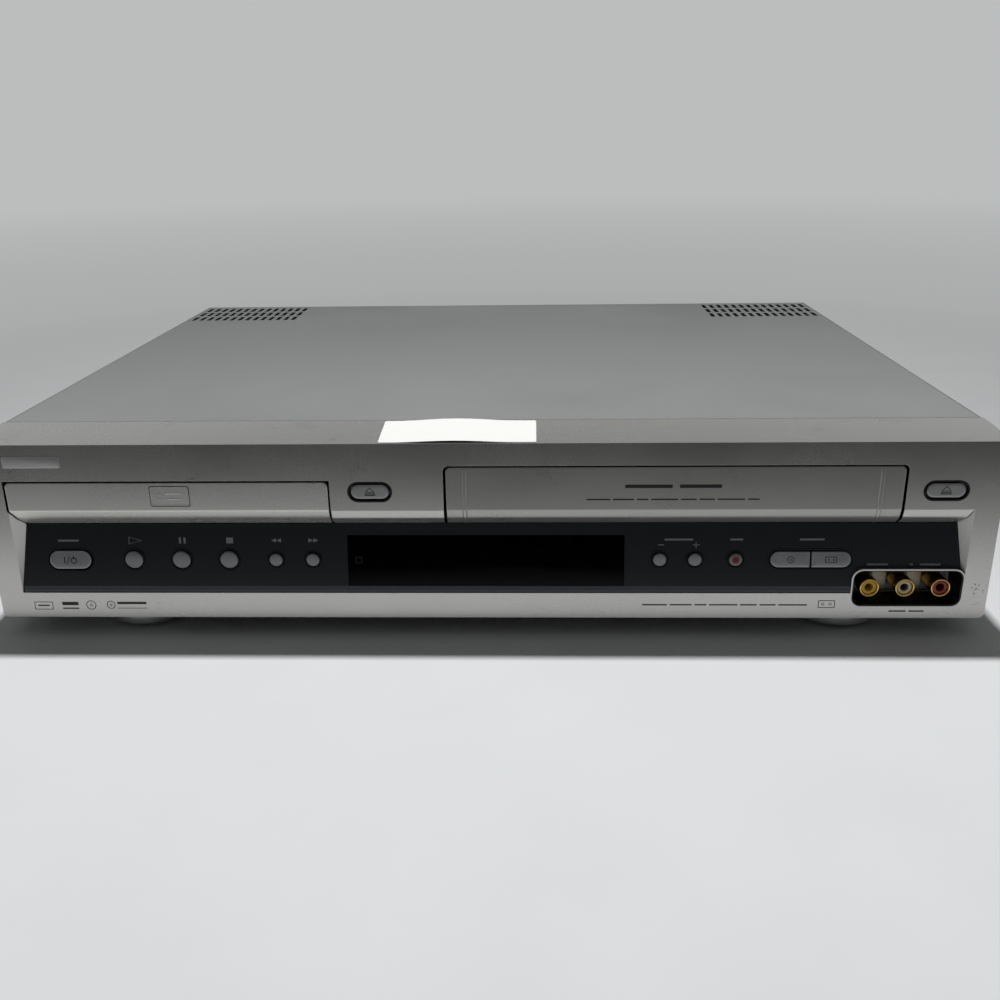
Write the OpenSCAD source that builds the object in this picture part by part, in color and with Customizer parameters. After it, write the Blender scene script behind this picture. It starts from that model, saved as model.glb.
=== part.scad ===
// Combined disc player and video cassette recorder, in one slim case.
// Millimetres. X runs to the right, Y to the back and Z up. The origin is
// the bottom centre of the whole object, on the surface that it stands on.
// Each module is drawn from the middle of the front face's lower edge:
// x to the right, y as depth behind the front face, z above that edge.

/* [Case] */
// Width of the case
body_w = 430; // [424:1:460]
// Depth of the case, from the front face to the cover's back edge
body_d = 332; // [328:1:380]
// Height of the case without its feet
body_h = 82; // [81:1:100]
// Height of the feet
foot_h = 9; // [5:0.5:16]
// Diameter of a foot
foot_dia = 40; // [24:1:44]
// Distance between the left and the right feet
foot_spacing = 315; // [280:1:340]
// Depth of the front feet behind the front face
foot_front_y = 26; // [23:1:40]
// Depth of the rear feet before the cover's back edge
foot_rear_y = 32; // [26:1:50]
// Sheet thickness of the cover
cover_t = 1; // [0.6:0.1:1.2]
// Sheet thickness of the chassis
chassis_t = 1; // [0.8:0.1:1.6]
// Depth of the rear panel's face inside the cover's back edge
rear_inset = 3; // [2:0.5:6]

/* [Cover vents] */
// Slots in each row of a vent
vent_cols = 14; // [6:1:14]
// Rows of slots in a vent
vent_rows = 3; // [1:1:3]
// Distance from slot to slot across the case
vent_pitch = 5.2; // [4:0.1:5.4]
// Distance from row to row
vent_row_pitch = 17; // [15:0.5:20]
// Length of a slot
vent_slot_l = 13; // [8:0.5:13.5]
// Width of a slot
vent_slot_w = 2.6; // [1.6:0.1:3]
// Distance of each vent's middle from the case's side
vent_side = 40; // [39:1:55]
// Distance of the last row from the cover's back edge
vent_edge = 13; // [9:0.5:16]

/* [Front bezel] */
// Depth of the bezel along the top and the sides
bezel_d = 28; // [24:1:36]
// Wall of the bezel
bezel_t = 2.5; // [2:0.1:3]
// Drop of the bezel's top face from the cover to the front edge
bezel_drop = 2.2; // [1:0.1:3]
// Height of the control recess's lower edge
recess_z0 = 12; // [11:0.5:13]
// Height of the recess floor's upper edge
recess_z1 = 42.5; // [42:0.1:43]
// Height of the recess's outer upper edge
recess_z2 = 50.3; // [49:0.1:52]
// Depth of the recess along its upper edge
recess_d = 5.5; // [4:0.1:6]
// Distance of the recess from the case's sides
recess_side = 10.7; // [9.6:0.1:11.5]
// Slant of the recess's side faces, across
recess_slant = 4.3; // [3:0.1:5]
// Gap around doors and panels
panel_gap = 0.4; // [0.3:0.05:0.6]

/* [Control panel] */
// Thickness of the control panel
panel_t = 2.5; // [2:0.1:3]
// Half of the display window's width
window_hw = 59.7; // [50:0.1:62]
// Height of the display window's lower edge
window_z0 = 15; // [14.6:0.1:17]
// Height of the display window's upper edge
window_z1 = 37.1; // [35:0.1:39]
// Height of the button row
button_z = 26.6; // [25:0.1:28]
// Diameter of the large round buttons
big_button_dia = 8; // [6:0.1:9]
// Diameter of the small round buttons
small_button_dia = 5.8; // [4.8:0.1:7]
// Gap around a button
button_gap = 0.35; // [0.3:0.05:0.5]
// Travel of a button
button_travel = 0.7; // [0.5:0.05:0.8]
// How far a button stands proud of the panel
button_proud = 1.1; // [0.6:0.1:1.4]
// Distance of the power button's middle from the case's left side
power_side = 33.2; // [29:0.1:37]
// Width of the power button
power_w = 19.4; // [14:0.1:22]
// Height of the power button
power_h = 9.1; // [7:0.1:10]
// Distance of the middle of the pair of source buttons from the case's right side
select_side = 75.8; // [75.5:0.1:79]
// Width of the pair of source buttons
select_w = 34.3; // [28:0.1:34.5]
// Height of the source buttons
select_h = 7; // [6:0.1:8]
// Width of an eject button
eject_w = 17.4; // [14:0.1:19]
// Height of an eject button
eject_h = 7.6; // [6:0.1:8.4]
// Height of the eject buttons' middle
eject_z = 58.6; // [57:0.1:60]
// Distance of the disc eject button's middle from the tray door
eject_disc_gap = 17.4; // [15.5:0.1:20.5]
// Distance of the tape eject button's middle from the case's right side
eject_tape_side = 23.6; // [21:0.1:25]

/* [Front jacks] */
// Distance of the jack recess's middle from the case's right side
jack_cup_side = 34.15; // [33:0.05:35.5]
// Width of the jack recess
jack_cup_w = 46.3; // [44:0.1:47]
// Height of the jack recess's lower edge
jack_cup_z0 = 5.8; // [5:0.1:6.5]
// Height of the jack recess
jack_cup_h = 16.5; // [15:0.1:17]
// Depth of the jack recess
jack_cup_d = 12; // [10:0.5:14]
// Distance from jack to jack
jack_pitch = 15.1; // [14.5:0.1:15.3]
// Outer diameter of a jack's shell
jack_shell_dia = 8.3; // [8:0.1:8.6]
// Bore of a jack's centre contact
jack_bore_dia = 3.4; // [3:0.1:3.6]
// Length of a rear jack's shell
jack_shell_l = 9; // [8:0.5:9.5]
// Depth of the front jacks' mouths behind the front face
front_jack_y = 0.5; // [0.4:0.1:3]

/* [Disc drive] */
// Width of the disc tray's door
disc_door_w = 138.8; // [137:0.1:138.8]
// Height of the tray door's upper edge
disc_door_z1 = 63.3; // [62.5:0.1:64]
// Thickness of the doors
door_t = 2.4; // [2:0.1:2.8]
// Depth of the disc spindle behind the front face
spindle_y = 78; // [76:0.5:80]
// Diameter of the disc well in the tray
well_dia = 121; // [120.4:0.1:122]
// Height of the disc's lower face when it lies in the tray
disc_z = 54.2; // [54:0.1:55]
// Travel of the disc tray
tray_travel = 132; // [120:1:134]
// Travel of the pickup sled
sled_travel = 34; // [30:1:36]

/* [Tape deck] */
// Distance of the cassette door from the case's right side
tape_door_side = 40.2; // [39.3:0.05:41.2]
// Width of the cassette door
tape_door_w = 191.5; // [191:0.1:192]
// Height of the cassette door's upper edge
tape_door_z1 = 69.6; // [69:0.1:70]
// Width of the cassette that the deck takes
cassette_w = 187.4; // [186:0.1:188]
// Height of that cassette
cassette_h = 25; // [24:0.1:25.4]
// Travel of the cassette holder to the back
carriage_travel = 60; // [40:1:62]
// Travel of the cassette holder down
holder_drop = 24; // [15:0.5:24.5]
// Diameter of the head drum
drum_dia = 62; // [50:0.5:62]
// Distance between the two reels' axes
reel_spacing = 92; // [88:0.5:94]

/* [Rear] */
// Distance from jack to jack on the rear panel
rear_jack_pitch = 14; // [13:0.5:15]
// Outer diameter of an aerial connector
aerial_dia = 9.4; // [9:0.1:9.6]

/* [Label] */
// Width of the paper label
label_w = 65.8; // [40:0.1:80]
// Depth of the paper label
label_d = 25.6; // [15:0.1:26]
// Middle of the label across the case
label_x = -10.9; // [-30:0.1:30]

/* [Hidden] */
$fn = 48;
tiny = 0.01;
rear_y = body_d - rear_inset;
total_d = rear_y + jack_shell_l;
front_h = body_h - bezel_drop;
hw = body_w / 2;
inner_hw = hw - bezel_t;
recess_hw = hw - recess_side;
vent_x = hw - vent_side;
power_x = -hw + power_side;
select_x = hw - select_side;
jack_cup_x = hw - jack_cup_side;
jack_corner_r = 4;
disc_x = -recess_hw + disc_door_w / 2;
tape_x = hw - tape_door_side - tape_door_w / 2;
eject_disc_x = disc_x + disc_door_w / 2 + eject_disc_gap;
eject_tape_x = hw - eject_tape_side;
seam = 0.3;
floor_z = chassis_t;
bezel_lip = 14;
chassis_y0 = bezel_lip + seam;
skirt_z = 1.5;
lip_h = 10;
lip_screw_side = 35;
lip_screw_x = [-hw + lip_screw_side, 0, hw - lip_screw_side];
label_t = 0.15;
jack_rim = 0.8;

// The cassette door hangs from pins in two brackets behind the bezel's face.
hinge_y = 4.2;
hinge_z = tape_door_z1 + 3.4;
hinge_pin = 2;
hinge_bore = hinge_pin + 0.1;
hinge_arm_r = 1.3;
door_bracket_t = 2.5;
door_bracket_x = [
    tape_x - tape_door_w / 2 - panel_gap - door_bracket_t,
    tape_x + tape_door_w / 2 + panel_gap
];

// Sockets on the rear panel: two rows of three, two aerial connectors and the cord's bush.
rear_jack_x = hw - 135;
rear_jack_z = [24, 40];
rear_jacks = [for (z = rear_jack_z, i = [0 : 2]) [rear_jack_x + i * rear_jack_pitch, z, i]];
aerial_x = hw - 45;
aerial_z = [24, 44];
aerial_bore = 5;
bush_x = -hw + 30;
bush_z = 24;
bush_dia = 16;
bush_bore = 7;

// Boards stand on pillars above the chassis floor.
board_t = 1.6;
board_z = 6;
board_top = board_z + board_t;
pillar_dia = 6;
main_board = [disc_x - 58, disc_x + 58, 24, 204];
power_board = [-hw + 9, -hw + 131, rear_y - 115, rear_y - 8];
signal_board = [hw - 275, hw - 9, rear_y - 73, rear_y - 2];
boards = [main_board, power_board, signal_board];
board_pillars = [
    for (b = boards, x = [b[0] + 5, b[1] - 5], y = [b[2] + 5, b[3] - 5]) [x, y]
];

// The upright front board carries the switches and the display tube.
front_board_y = 19;
front_board_z0 = 11;
front_board_z1 = 31.5;
switch_w = 6;
switch_l = 3.2;
switch_gap = 0.2;

board_post_x = [-hw + 30, -hw + 115, hw - 149, hw - 85];
board_post_z = 16.5;
eject_board_y = 12;
eject_sink = 0.15;
eject_post_rise = 7;
front_jack_z = jack_cup_z0 + jack_cup_h / 2;
front_jack_shift = -0.8;
shell_wall = 0.8;
shell_base = 1.2;
hole_shoulder = 0.4;
function front_jack_x(i) = jack_cup_x + front_jack_shift + (i - 1) * jack_pitch;

play_x = -hw + 61.4;
pause_x = -hw + 82.4;
stop_x = -hw + 103.3;
rewind_x = -hw + 123.9;
forward_x = -hw + 140;
channel_down_x = hw - 140.1;
channel_up_x = hw - 125;
record_x = hw - 107.7;
round_buttons = [
    [play_x, big_button_dia], [pause_x, big_button_dia], [stop_x, big_button_dia],
    [rewind_x, small_button_dia], [forward_x, small_button_dia],
    [channel_down_x, small_button_dia], [channel_up_x, small_button_dia],
    [record_x, small_button_dia]
];

// The disc drive's frame, tray and the gears under the tray. The tray's runners keep
// this much of their length in the frame when the tray is out.
tray_hold = 42;
tray_w = disc_door_w - 8.8;
tray_y0 = door_t;
tray_l = tray_travel + tray_hold;
tray_top_z = disc_z + 1.8;
tray_t = 3.8;
tray_z = tray_top_z - tray_t;
tray_slot_w = 42;
small_well_dia = 81;
small_well_depth = 0.9;
rail_t = 4;
rail_h = 4;
rail_z = tray_z - rail_h;
frame_gap = 0.5;
frame_t = 3;
frame_w = tray_w + 2 * (frame_gap + frame_t);
frame_y0 = 22.5;
frame_y1 = 205;
frame_z0 = 33;
frame_z1 = tray_top_z + 6;
rack_module = 1;
pinion_teeth = 16;
drive_teeth = 24;
belt_gear_teeth = 14;
mesh_gap = 0.1;
pinion_r = rack_module * pinion_teeth / 2;
drive_r = rack_module * drive_teeth / 2;
belt_gear_r = rack_module * belt_gear_teeth / 2;
rack_x = disc_x + tray_w / 2 - rail_t - 1.15 * rack_module;
pinion_x = rack_x - pinion_r - mesh_gap;
gear_y = 39.5;
pinion_z = rail_z + 0.3;
pinion_h = rail_h - 0.7;
drive_z = pinion_z - 5;
drive_h = 3;
belt_gear_x = pinion_x - drive_r - belt_gear_r - mesh_gap;
belt_z = 37.5;
belt_t = 1.6;
belt_w = 1.2;
belt_gap = 0.3;
pulley_h = 3;
pulley_dia = 18;
flange_w = 2;
flange_t = 1;
motor_pulley_dia = 7;
loader_motor_x = belt_gear_x - 32;
gear_shaft = 2.5;
gear_bore = gear_shaft + 0.1;

// The traverse carries the spindle, the pickup and the pickup's drive.
traverse_z = 36;
traverse_t = 2.5;
traverse_w = 96;
traverse_y0 = spindle_y - 26;
pivot_dia = 4;
spindle_dia = 14.6;
spindle_motor_dia = 24;
spindle_shaft = 3;
turntable_z = disc_z + 0.8;
turntable_dia = 30;
sled_l = 30;
sled_y = spindle_y + spindle_motor_dia / 2 + sled_l / 2 + 2;
sled_z = 41;
sled_h = 6.5;
bearing_l = 4;
rod_front_y = sled_y - sled_l / 2 - bearing_l - 0.5;
rod_end_y = sled_y + sled_l / 2 + sled_travel + 5.5;
traverse_y1 = rod_end_y + 0.5;
traverse_pivot_y = traverse_y1 + 8;
traverse_pivot_z = traverse_z + traverse_t / 2;
screw_y0 = sled_y - 9;
rod_off = 27;
rod_z = sled_z + 3;
rod_dia = 3;
screw_x = disc_x + 38;
screw_dia = 4;
screw_groove = 0.6;
sled_motor_dia = 10;
sled_motor_l = 18;
clamper_dia = 30;
clamper_neck = 16;
hub_h = 1.9;
pivot_block_w = 6;
pivot_block_x = [disc_x - traverse_w / 2 - 0.6 - pivot_block_w, disc_x + traverse_w / 2 + 0.6];
bridge_z = frame_z1;
bridge_t = 2;

// The tape deck's plate and what stands on it.
deck_z = 14;
deck_t = 1.2;
deck_top = deck_z + deck_t;
holder_t = 1.2;
holder_w = cassette_w + 2;
holder_h = cassette_h + 1;
holder_floor_z = recess_z1 + 1;
holder_y0 = 37;
holder_l = 68;
holder_hw = holder_w / 2 + holder_t;
carriage_t = 1.5;
carriage_gap = 0.6;
carriage_hw = holder_hw + carriage_gap + carriage_t;
bracket_t = 1.5;
bracket_hw = carriage_hw + carriage_gap + bracket_t;
deck_hw = bracket_hw + 3;
deck_y0 = 28;
drum_y = holder_y0 + carriage_travel + holder_l + 14 + drum_dia / 2;
deck_y1 = drum_y + drum_dia / 2 + 9;
guide_pin_dia = 3;
guide_slot = guide_pin_dia + 0.4;
holder_pin_z = holder_floor_z + 13;
carriage_z0 = holder_pin_z - holder_drop - 5;
carriage_z1 = holder_floor_z + holder_h + holder_t + 2;
carriage_y0 = holder_y0 + 6;
carriage_y1 = holder_y0 + holder_l - 6;
carriage_pin_z = carriage_z1 - 6;
carriage_pin_y = [carriage_y0 + 6, carriage_y1 - 6];
holder_pin_y = [carriage_y0 + 14, carriage_y1 - 14];
spindle_pin = 3;
drum_shaft = 4;
flywheel_z = 4;
drum_tilt = 6;
drum_z = deck_top + 6;
lower_drum_h = 15;
head_drum_h = 15;
drum_gap = 0.4;
reel_y = 112;
reel_dia = 38;
spindle_hub_dia = 16;
capstan_x = tape_x + 50;
capstan_y = drum_y - 38;
capstan_dia = 4;
capstan_bearing_dia = capstan_dia + 3.6;
capstan_bearing_h = 3.2;
flywheel_dia = 50;
pinch_pivot_x = capstan_x + 24;
pinch_pivot_y = capstan_y + 8;
pinch_roller_dia = 11;
pinch_arm_l = 21;
pinch_arm_angle = 235;
pinch_arm_gap = 1;
pinch_arm_t = 2.5;

// ---- Places and plain shapes ----

// Moves a piece from the front face's lower edge to its place in the object.
module placed() {
    translate([0, -total_d / 2, foot_h]) children();
}

// Extrudes an outline of depth and height along the case's width.
module along_x(x0, x1) {
    translate([x0, 0, 0]) rotate([90, 0, 90]) linear_extrude(x1 - x0) children();
}

// Extrudes an outline of width and height along the case's depth.
module along_y(y0, y1) {
    translate([0, y1, 0]) rotate([90, 0, 0]) linear_extrude(y1 - y0) children();
}

// Extrudes an outline of width and depth upwards.
module along_z(z0, z1) {
    translate([0, 0, z0]) linear_extrude(z1 - z0) children();
}

module rod_x(x0, x1, y, z, d) {
    translate([x0, y, z]) rotate([0, 90, 0]) cylinder(d = d, h = x1 - x0);
}

module rod_y(x, y0, y1, z, d) {
    translate([x, y0, z]) rotate([-90, 0, 0]) cylinder(d = d, h = y1 - y0);
}

module rod_z(x, y, z0, z1, d) {
    translate([x, y, z0]) cylinder(d = d, h = z1 - z0);
}

module box(x0, x1, y0, y1, z0, z1) {
    translate([x0, y0, z0]) cube([x1 - x0, y1 - y0, z1 - z0]);
}

// A rectangle with round corners, about its middle.
module round_rect(w, h, r) {
    square([w - 2 * r, h], center = true);
    square([w, h - 2 * r], center = true);
    for (sx = [-1, 1], sy = [-1, 1]) translate([sx * (w / 2 - r), sy * (h / 2 - r)]) circle(r);
}

// A slot with half-round ends, longer side along x.
module stadium(w, h) {
    square([w - h, h], center = true);
    for (s = [-1, 1]) translate([s * (w - h) / 2, 0]) circle(d = h);
}

// A door's outline: square below, small round corners above.
module door_outline(x0, x1, z0, z1, r) {
    translate([x0, z0]) square([x1 - x0, z1 - z0 - r]);
    translate([x0 + r, z0]) square([x1 - x0 - 2 * r, z1 - z0]);
    for (x = [x0 + r, x1 - r]) translate([x, z1 - r]) circle(r);
}

// A tube or washer standing up.
module ring_z(x, y, z0, z1, d, bore) {
    translate([x, y, z0]) difference() {
        cylinder(d = d, h = z1 - z0);
        translate([0, 0, -1]) cylinder(d = bore, h = z1 - z0 + 2);
    }
}

// A spur gear's outline: trapezoid teeth, each a little narrower than its gap.
module gear_outline(m, teeth) {
    r = m * teeth / 2;
    play = 0.12 * m / r * 180 / PI;
    half = 90 / teeth - play;
    polygon([for (i = [0 : teeth - 1], p = [
        [r - 1.15 * m, -1.45 * half],
        [r, -half],
        [r + 0.8 * m, -0.5 * half],
        [r + 0.8 * m, 0.5 * half],
        [r, half],
        [r - 1.15 * m, 1.45 * half]
    ]) let (a = 360 * i / teeth + p[1]) [p[0] * cos(a), p[0] * sin(a)]]);
}

// ---- The control recess in the front face ----

// Depth of the recess floor at a height: nothing below, recess_d above.
function recess_y(z) = recess_d * (z - recess_z0) / (recess_z1 - recess_z0);

// Half of the recess floor's width at a height.
function recess_floor_hw(z) = recess_hw - recess_slant * recess_y(z) / recess_d;

// The room in front of the recess's slanted faces.
module recess_void() {
    intersection() {
        along_x(-hw, hw) polygon([
            [-1, recess_z2], [0, recess_z2], [recess_d, recess_z1], [0, recess_z0], [-1, recess_z0]
        ]);
        along_z(0, body_h) polygon([
            [-recess_hw, -1], [-recess_hw, 0], [-recess_hw + recess_slant, recess_d],
            [recess_hw - recess_slant, recess_d], [recess_hw, 0], [recess_hw, -1]
        ]);
    }
}

// The recess floor's outline, smaller by a gap.
module floor_outline(gap) {
    polygon([
        [-recess_floor_hw(recess_z0) + gap, recess_z0 + gap],
        [-recess_floor_hw(recess_z1) + gap, recess_z1 - gap],
        [recess_floor_hw(recess_z1) - gap, recess_z1 - gap],
        [recess_floor_hw(recess_z0) - gap, recess_z0 + gap]
    ]);
}

// The jack recess's outline, larger by a margin.
module jack_outline(margin) {
    translate([jack_cup_x, jack_cup_z0 + jack_cup_h / 2])
        round_rect(jack_cup_w + 2 * margin, jack_cup_h + 2 * margin, jack_corner_r + margin);
}

// ---- Case ----

// Sheet-metal tray: floor, side flanges, board pillars and vents.
module bottom_chassis() color("#b9bab8") placed() {
    flange_hw = hw - cover_t - 0.3;
    difference() {
        union() {
            box(-inner_hw + 0.3, inner_hw - 0.3, chassis_y0, bezel_d + seam, 0, floor_z);
            box(-flange_hw, flange_hw, bezel_d + seam, rear_y - 1.2, 0, floor_z);
            for (s = [-1, 1]) mirrored(s)
                box(flange_hw - chassis_t, flange_hw, bezel_d + seam, rear_y - 1.2, 0, 14);
            for (p = board_pillars) rod_z(p[0], p[1], 0, board_z, pillar_dia);
        }
        for (p = board_pillars) rod_z(p[0], p[1], -1, board_z + 1, 2.4);
        for (sx = [-1, 1], i = [0 : 9])
            translate([sx * (hw - 110), 110 + 9 * i, -1]) linear_extrude(floor_z + 2) stadium(60, 3);
    }
}

// Draws a right-hand piece, or mirrors it to the left side.
module mirrored(s) {
    if (s < 0) mirror([1, 0, 0]) children();
    else children();
}

// Folded cover: top and two sides, a vent at each rear corner, a screwed lip at the back.
module top_cover() color("#8d8d8e") placed() {
    difference() {
        union() {
            along_y(bezel_d + seam, body_d) difference() {
                cover_outline(0);
                cover_outline(cover_t);
            }
            along_y(rear_y + 0.2, rear_y + 0.2 + cover_t)
                translate([-hw + cover_t, body_h - lip_h]) square([2 * (hw - cover_t), lip_h - cover_t / 2]);
        }
        for (s = [-1, 1], c = [0 : vent_cols - 1], r = [0 : vent_rows - 1]) {
            x = s * vent_x + (c - (vent_cols - 1) / 2) * vent_pitch;
            y = body_d - vent_edge - r * vent_row_pitch;
            translate([x, y, body_h - 2 * cover_t])
                linear_extrude(3 * cover_t) rotate(90) stadium(vent_slot_l, vent_slot_w);
        }
        for (x = lip_screw_x) rod_y(x, rear_y, rear_y + 3, body_h - lip_h / 2, 3.4);
    }
}

// The cover's section, inwards by a wall: square feet, rounded folds.
module cover_outline(wall) {
    w = 2 * (hw - wall);
    fold_r = 2.2 - wall;
    h = body_h - wall;
    translate([-w / 2, wall > 0 ? -1 : skirt_z]) square([w, h - fold_r - (wall > 0 ? -1 : skirt_z)]);
    translate([-w / 2 + fold_r, h / 2]) square([w - 2 * fold_r, h / 2]);
    for (s = [-1, 1]) translate([s * (w / 2 - fold_r), h - fold_r]) circle(fold_r);
}

// Moulded front: face, sloped top, side returns, slanted recess frame and door openings.
module front_bezel() color("#8f8e8c") placed() intersection() {
    along_y(-1, bezel_d + 1) bezel_outline();
    difference() {
        union() {
            bezel_shell();
            along_y(0, recess_d + bezel_t) jack_outline(jack_rim);
            for (x = [eject_disc_x, eject_tape_x], dx = [-5, 5])
                rod_y(x + dx, bezel_t - tiny, eject_board_y, eject_z + eject_post_rise, 3.2);
        }
        along_y(-1, recess_d + bezel_t + 1) tray_opening();
        along_y(-1, recess_d + bezel_t + 1) tape_opening();
        along_y(-1, bezel_lip + 1) jack_outline(0.1);
        for (x = [eject_disc_x, eject_tape_x]) along_y(-1, bezel_t + 1)
            translate([x, eject_z]) stadium(eject_w + 2 * button_gap, eject_h + 2 * button_gap);
        rod_x(
            door_bracket_x[0] - 1, door_bracket_x[1] + door_bracket_t + 1,
            hinge_y, hinge_z, hinge_bore
        );
    }
}

// The case front's outline with its small round corners.
module bezel_outline() {
    translate([0, body_h / 2]) round_rect(body_w, body_h, 2.5);
    translate([-hw, body_h / 2]) square([body_w, body_h / 2 - 1]);
    translate([-hw + 1, body_h / 2]) square([body_w - 2, body_h / 2]);
    for (s = [-1, 1]) translate([s * (hw - 1), body_h - 1]) circle(1);
}

// The bezel's walls with the control recess sunk into them.
module bezel_shell() {
    difference() {
        union() {
            along_x(-hw, hw) polygon([
                [0, 0], [0, front_h], [bezel_d, body_h], [bezel_d, body_h - bezel_t],
                [bezel_t, front_h - bezel_t], [bezel_t, bezel_t], [bezel_lip, bezel_t], [bezel_lip, 0]
            ]);
            for (s = [-1, 1]) mirrored(s) along_x(inner_hw, hw) polygon([
                [0, 0], [0, front_h], [bezel_d, body_h], [bezel_d, 1.5], [bezel_lip, 0]
            ]);
            along_x(-recess_hw - bezel_t, recess_hw + bezel_t) polygon([
                [0, recess_z2 + 3], [0, recess_z1], [recess_d + bezel_t, recess_z1],
                [recess_d + bezel_t, recess_z1 + 2], [bezel_t, recess_z2 + 2], [bezel_t, recess_z2 + 3]
            ]);
            for (s = [-1, 1]) mirrored(s) box(
                recess_hw - recess_slant - 0.5, recess_hw + bezel_t, 0, recess_d + bezel_t,
                recess_z0, recess_z2
            );
            for (x = door_bracket_x)
                box(x, x + door_bracket_t, bezel_t - tiny, 9, hinge_z - 3, hinge_z + 3);
        }
        recess_void();
        along_y(-1, recess_d + bezel_t + 1) floor_outline(-0.1);
    }
}

// Where the tray comes out: its lower left corner follows the recess's mitre.
module tray_opening() {
    x0 = disc_x - disc_door_w / 2 - panel_gap;
    x1 = disc_x + disc_door_w / 2 + panel_gap;
    polygon([
        [x0, disc_door_z1 + panel_gap], [x1, disc_door_z1 + panel_gap], [x1, recess_z1 - 0.2],
        [-recess_hw + recess_slant - 0.1, recess_z1 - 0.2], [x0, recess_z2]
    ]);
}

// Where the cassette goes in.
module tape_opening() {
    x0 = tape_x - tape_door_w / 2 - panel_gap;
    x1 = tape_x + tape_door_w / 2 + panel_gap;
    door_outline(x0, x1, recess_z1 - 0.2, tape_door_z1 + panel_gap, 2.4);
}

// Steel back with holes for the sockets, the aerial connectors and the cord, and a row of vents.
module rear_panel() color("#a9aaa9") placed() {
    difference() {
        box(-hw + cover_t + 0.4, hw - cover_t - 0.4, rear_y - 1, rear_y, 0, body_h - cover_t - 0.4);
        for (p = rear_jacks) rod_y(p[0], rear_y - 2, rear_y + 1, p[1], jack_shell_dia + 0.6);
        for (z = aerial_z) rod_y(aerial_x, rear_y - 2, rear_y + 1, z, aerial_dia + 0.6);
        rod_y(bush_x, rear_y - 2, rear_y + 1, bush_z, bush_dia);
        for (x = lip_screw_x) rod_y(x, rear_y - 2, rear_y + 1, body_h - lip_h / 2, 2.6);
        for (i = [0 : 11]) along_y(rear_y - 2, rear_y + 1)
            translate([-hw + 65 + 6 * i, body_h / 2 - 1]) rotate(90) stadium(26, 2.6);
    }
}

// A cross-recessed pan-head screw, pointing to the front, its head's seat at the origin.
module back_screw(length) {
    difference() {
        union() {
            rotate([-90, 0, 0]) cylinder(d = 6, h = 1.8);
            rotate([90, 0, 0]) cylinder(d = 2.6, h = length);
        }
        for (a = [0, 90]) translate([0, 1.5, 0]) rotate([0, a, 0]) cube([3, 1.4, 0.7], center = true);
    }
}

// The three screws that hold the cover's lip to the rear panel.
module case_screws() color("#2b2b2c") placed() {
    for (x = lip_screw_x) translate([x, rear_y + 0.2 + cover_t, body_h - lip_h / 2]) back_screw(6);
}

// Four round feet: a grooved ring, a flat boss below it and a soft pad.
module feet() color("#3a3b3c") placed() {
    for (s = [-1, 1], y = [foot_front_y, body_d - foot_rear_y])
        translate([s * foot_spacing / 2, y, -foot_h]) rotate_extrude() polygon([
            [0, 0], [foot_dia * 0.36, 0], [foot_dia * 0.38, foot_h * 0.12],
            [foot_dia / 2 - 1, foot_h * 0.16], [foot_dia / 2, foot_h * 0.3],
            [foot_dia / 2, foot_h * 0.66], [foot_dia / 2 - 0.8, foot_h * 0.7],
            [foot_dia / 2 - 0.8, foot_h * 0.78], [foot_dia / 2, foot_h * 0.82],
            [foot_dia / 2, foot_h], [0, foot_h]
        ]);
}

// Blank paper label on the bezel's sloped top.
module paper_label() color("white") placed() {
    slope = bezel_drop / bezel_d;
    y0 = 1.2;
    z0 = front_h + slope * y0;
    along_x(label_x - label_w / 2, label_x + label_w / 2) polygon([
        [y0, z0], [y0 + label_d, z0 + slope * label_d],
        [y0 + label_d, z0 + slope * label_d + label_t], [y0, z0 + label_t]
    ]);
}

// ---- Boards and sockets ----

// Three boards that lie on the chassis pillars.
module circuit_boards() color("#2f5a3c") placed() {
    for (b = boards) difference() {
        box(b[0], b[1], b[2], b[3], board_z, board_top);
        for (x = [b[0] + 5, b[1] - 5], y = [b[2] + 5, b[3] - 5]) rod_z(x, y, board_z - 1, board_top + 1, 2.8);
    }
    box(main_board[0] + 14, main_board[0] + 42, 96, 124, board_top, board_top + 2.2);
    box(main_board[0] + 60, main_board[0] + 80, 60, 80, board_top, board_top + 1.8);
    box(
        signal_board[0] + 20, signal_board[0] + 48, signal_board[2] + 24, signal_board[2] + 36,
        board_top, board_top + 3
    );
}

// Transformer, reservoir capacitors and a finned heat sink on the power board.
module power_parts() color("#4a4a48") placed() {
    x0 = power_board[0] + 16;
    y0 = power_board[2] + 14;
    box(x0, x0 + 42, y0, y0 + 12, board_top, board_top + 34);
    box(x0, x0 + 42, y0 + 24, y0 + 36, board_top, board_top + 34);
    box(x0 + 6, x0 + 36, y0 + 12, y0 + 24, board_top, board_top + 34);
    for (i = [0 : 2]) rod_z(x0 + 58 + 4 * i, y0 + 6 + 18 * i, board_top, board_top + 26 - 4 * i, 16 - 2 * i);
    box(x0 + 76, x0 + 79, y0, y0 + 46, board_top, board_top + 30);
    for (i = [0 : 6]) box(x0 + 79, x0 + 91, y0 + 7 * i, y0 + 7 * i + 1.5, board_top, board_top + 30);
}

// Soft bush that lines the cord's hole in the rear panel.
module cord_bush() color("#1c1c1d") placed() {
    translate([bush_x, rear_y, bush_z]) rotate([-90, 0, 0]) difference() {
        union() {
            translate([0, 0, -5]) cylinder(d = bush_dia - 0.1, h = 5);
            translate([0, 0, -5]) cylinder(d = bush_dia + 3, h = 3.8);
            cylinder(d = bush_dia + 3, h = 3);
        }
        translate([0, 0, -6]) cylinder(d = bush_bore, h = 10);
    }
}

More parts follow.
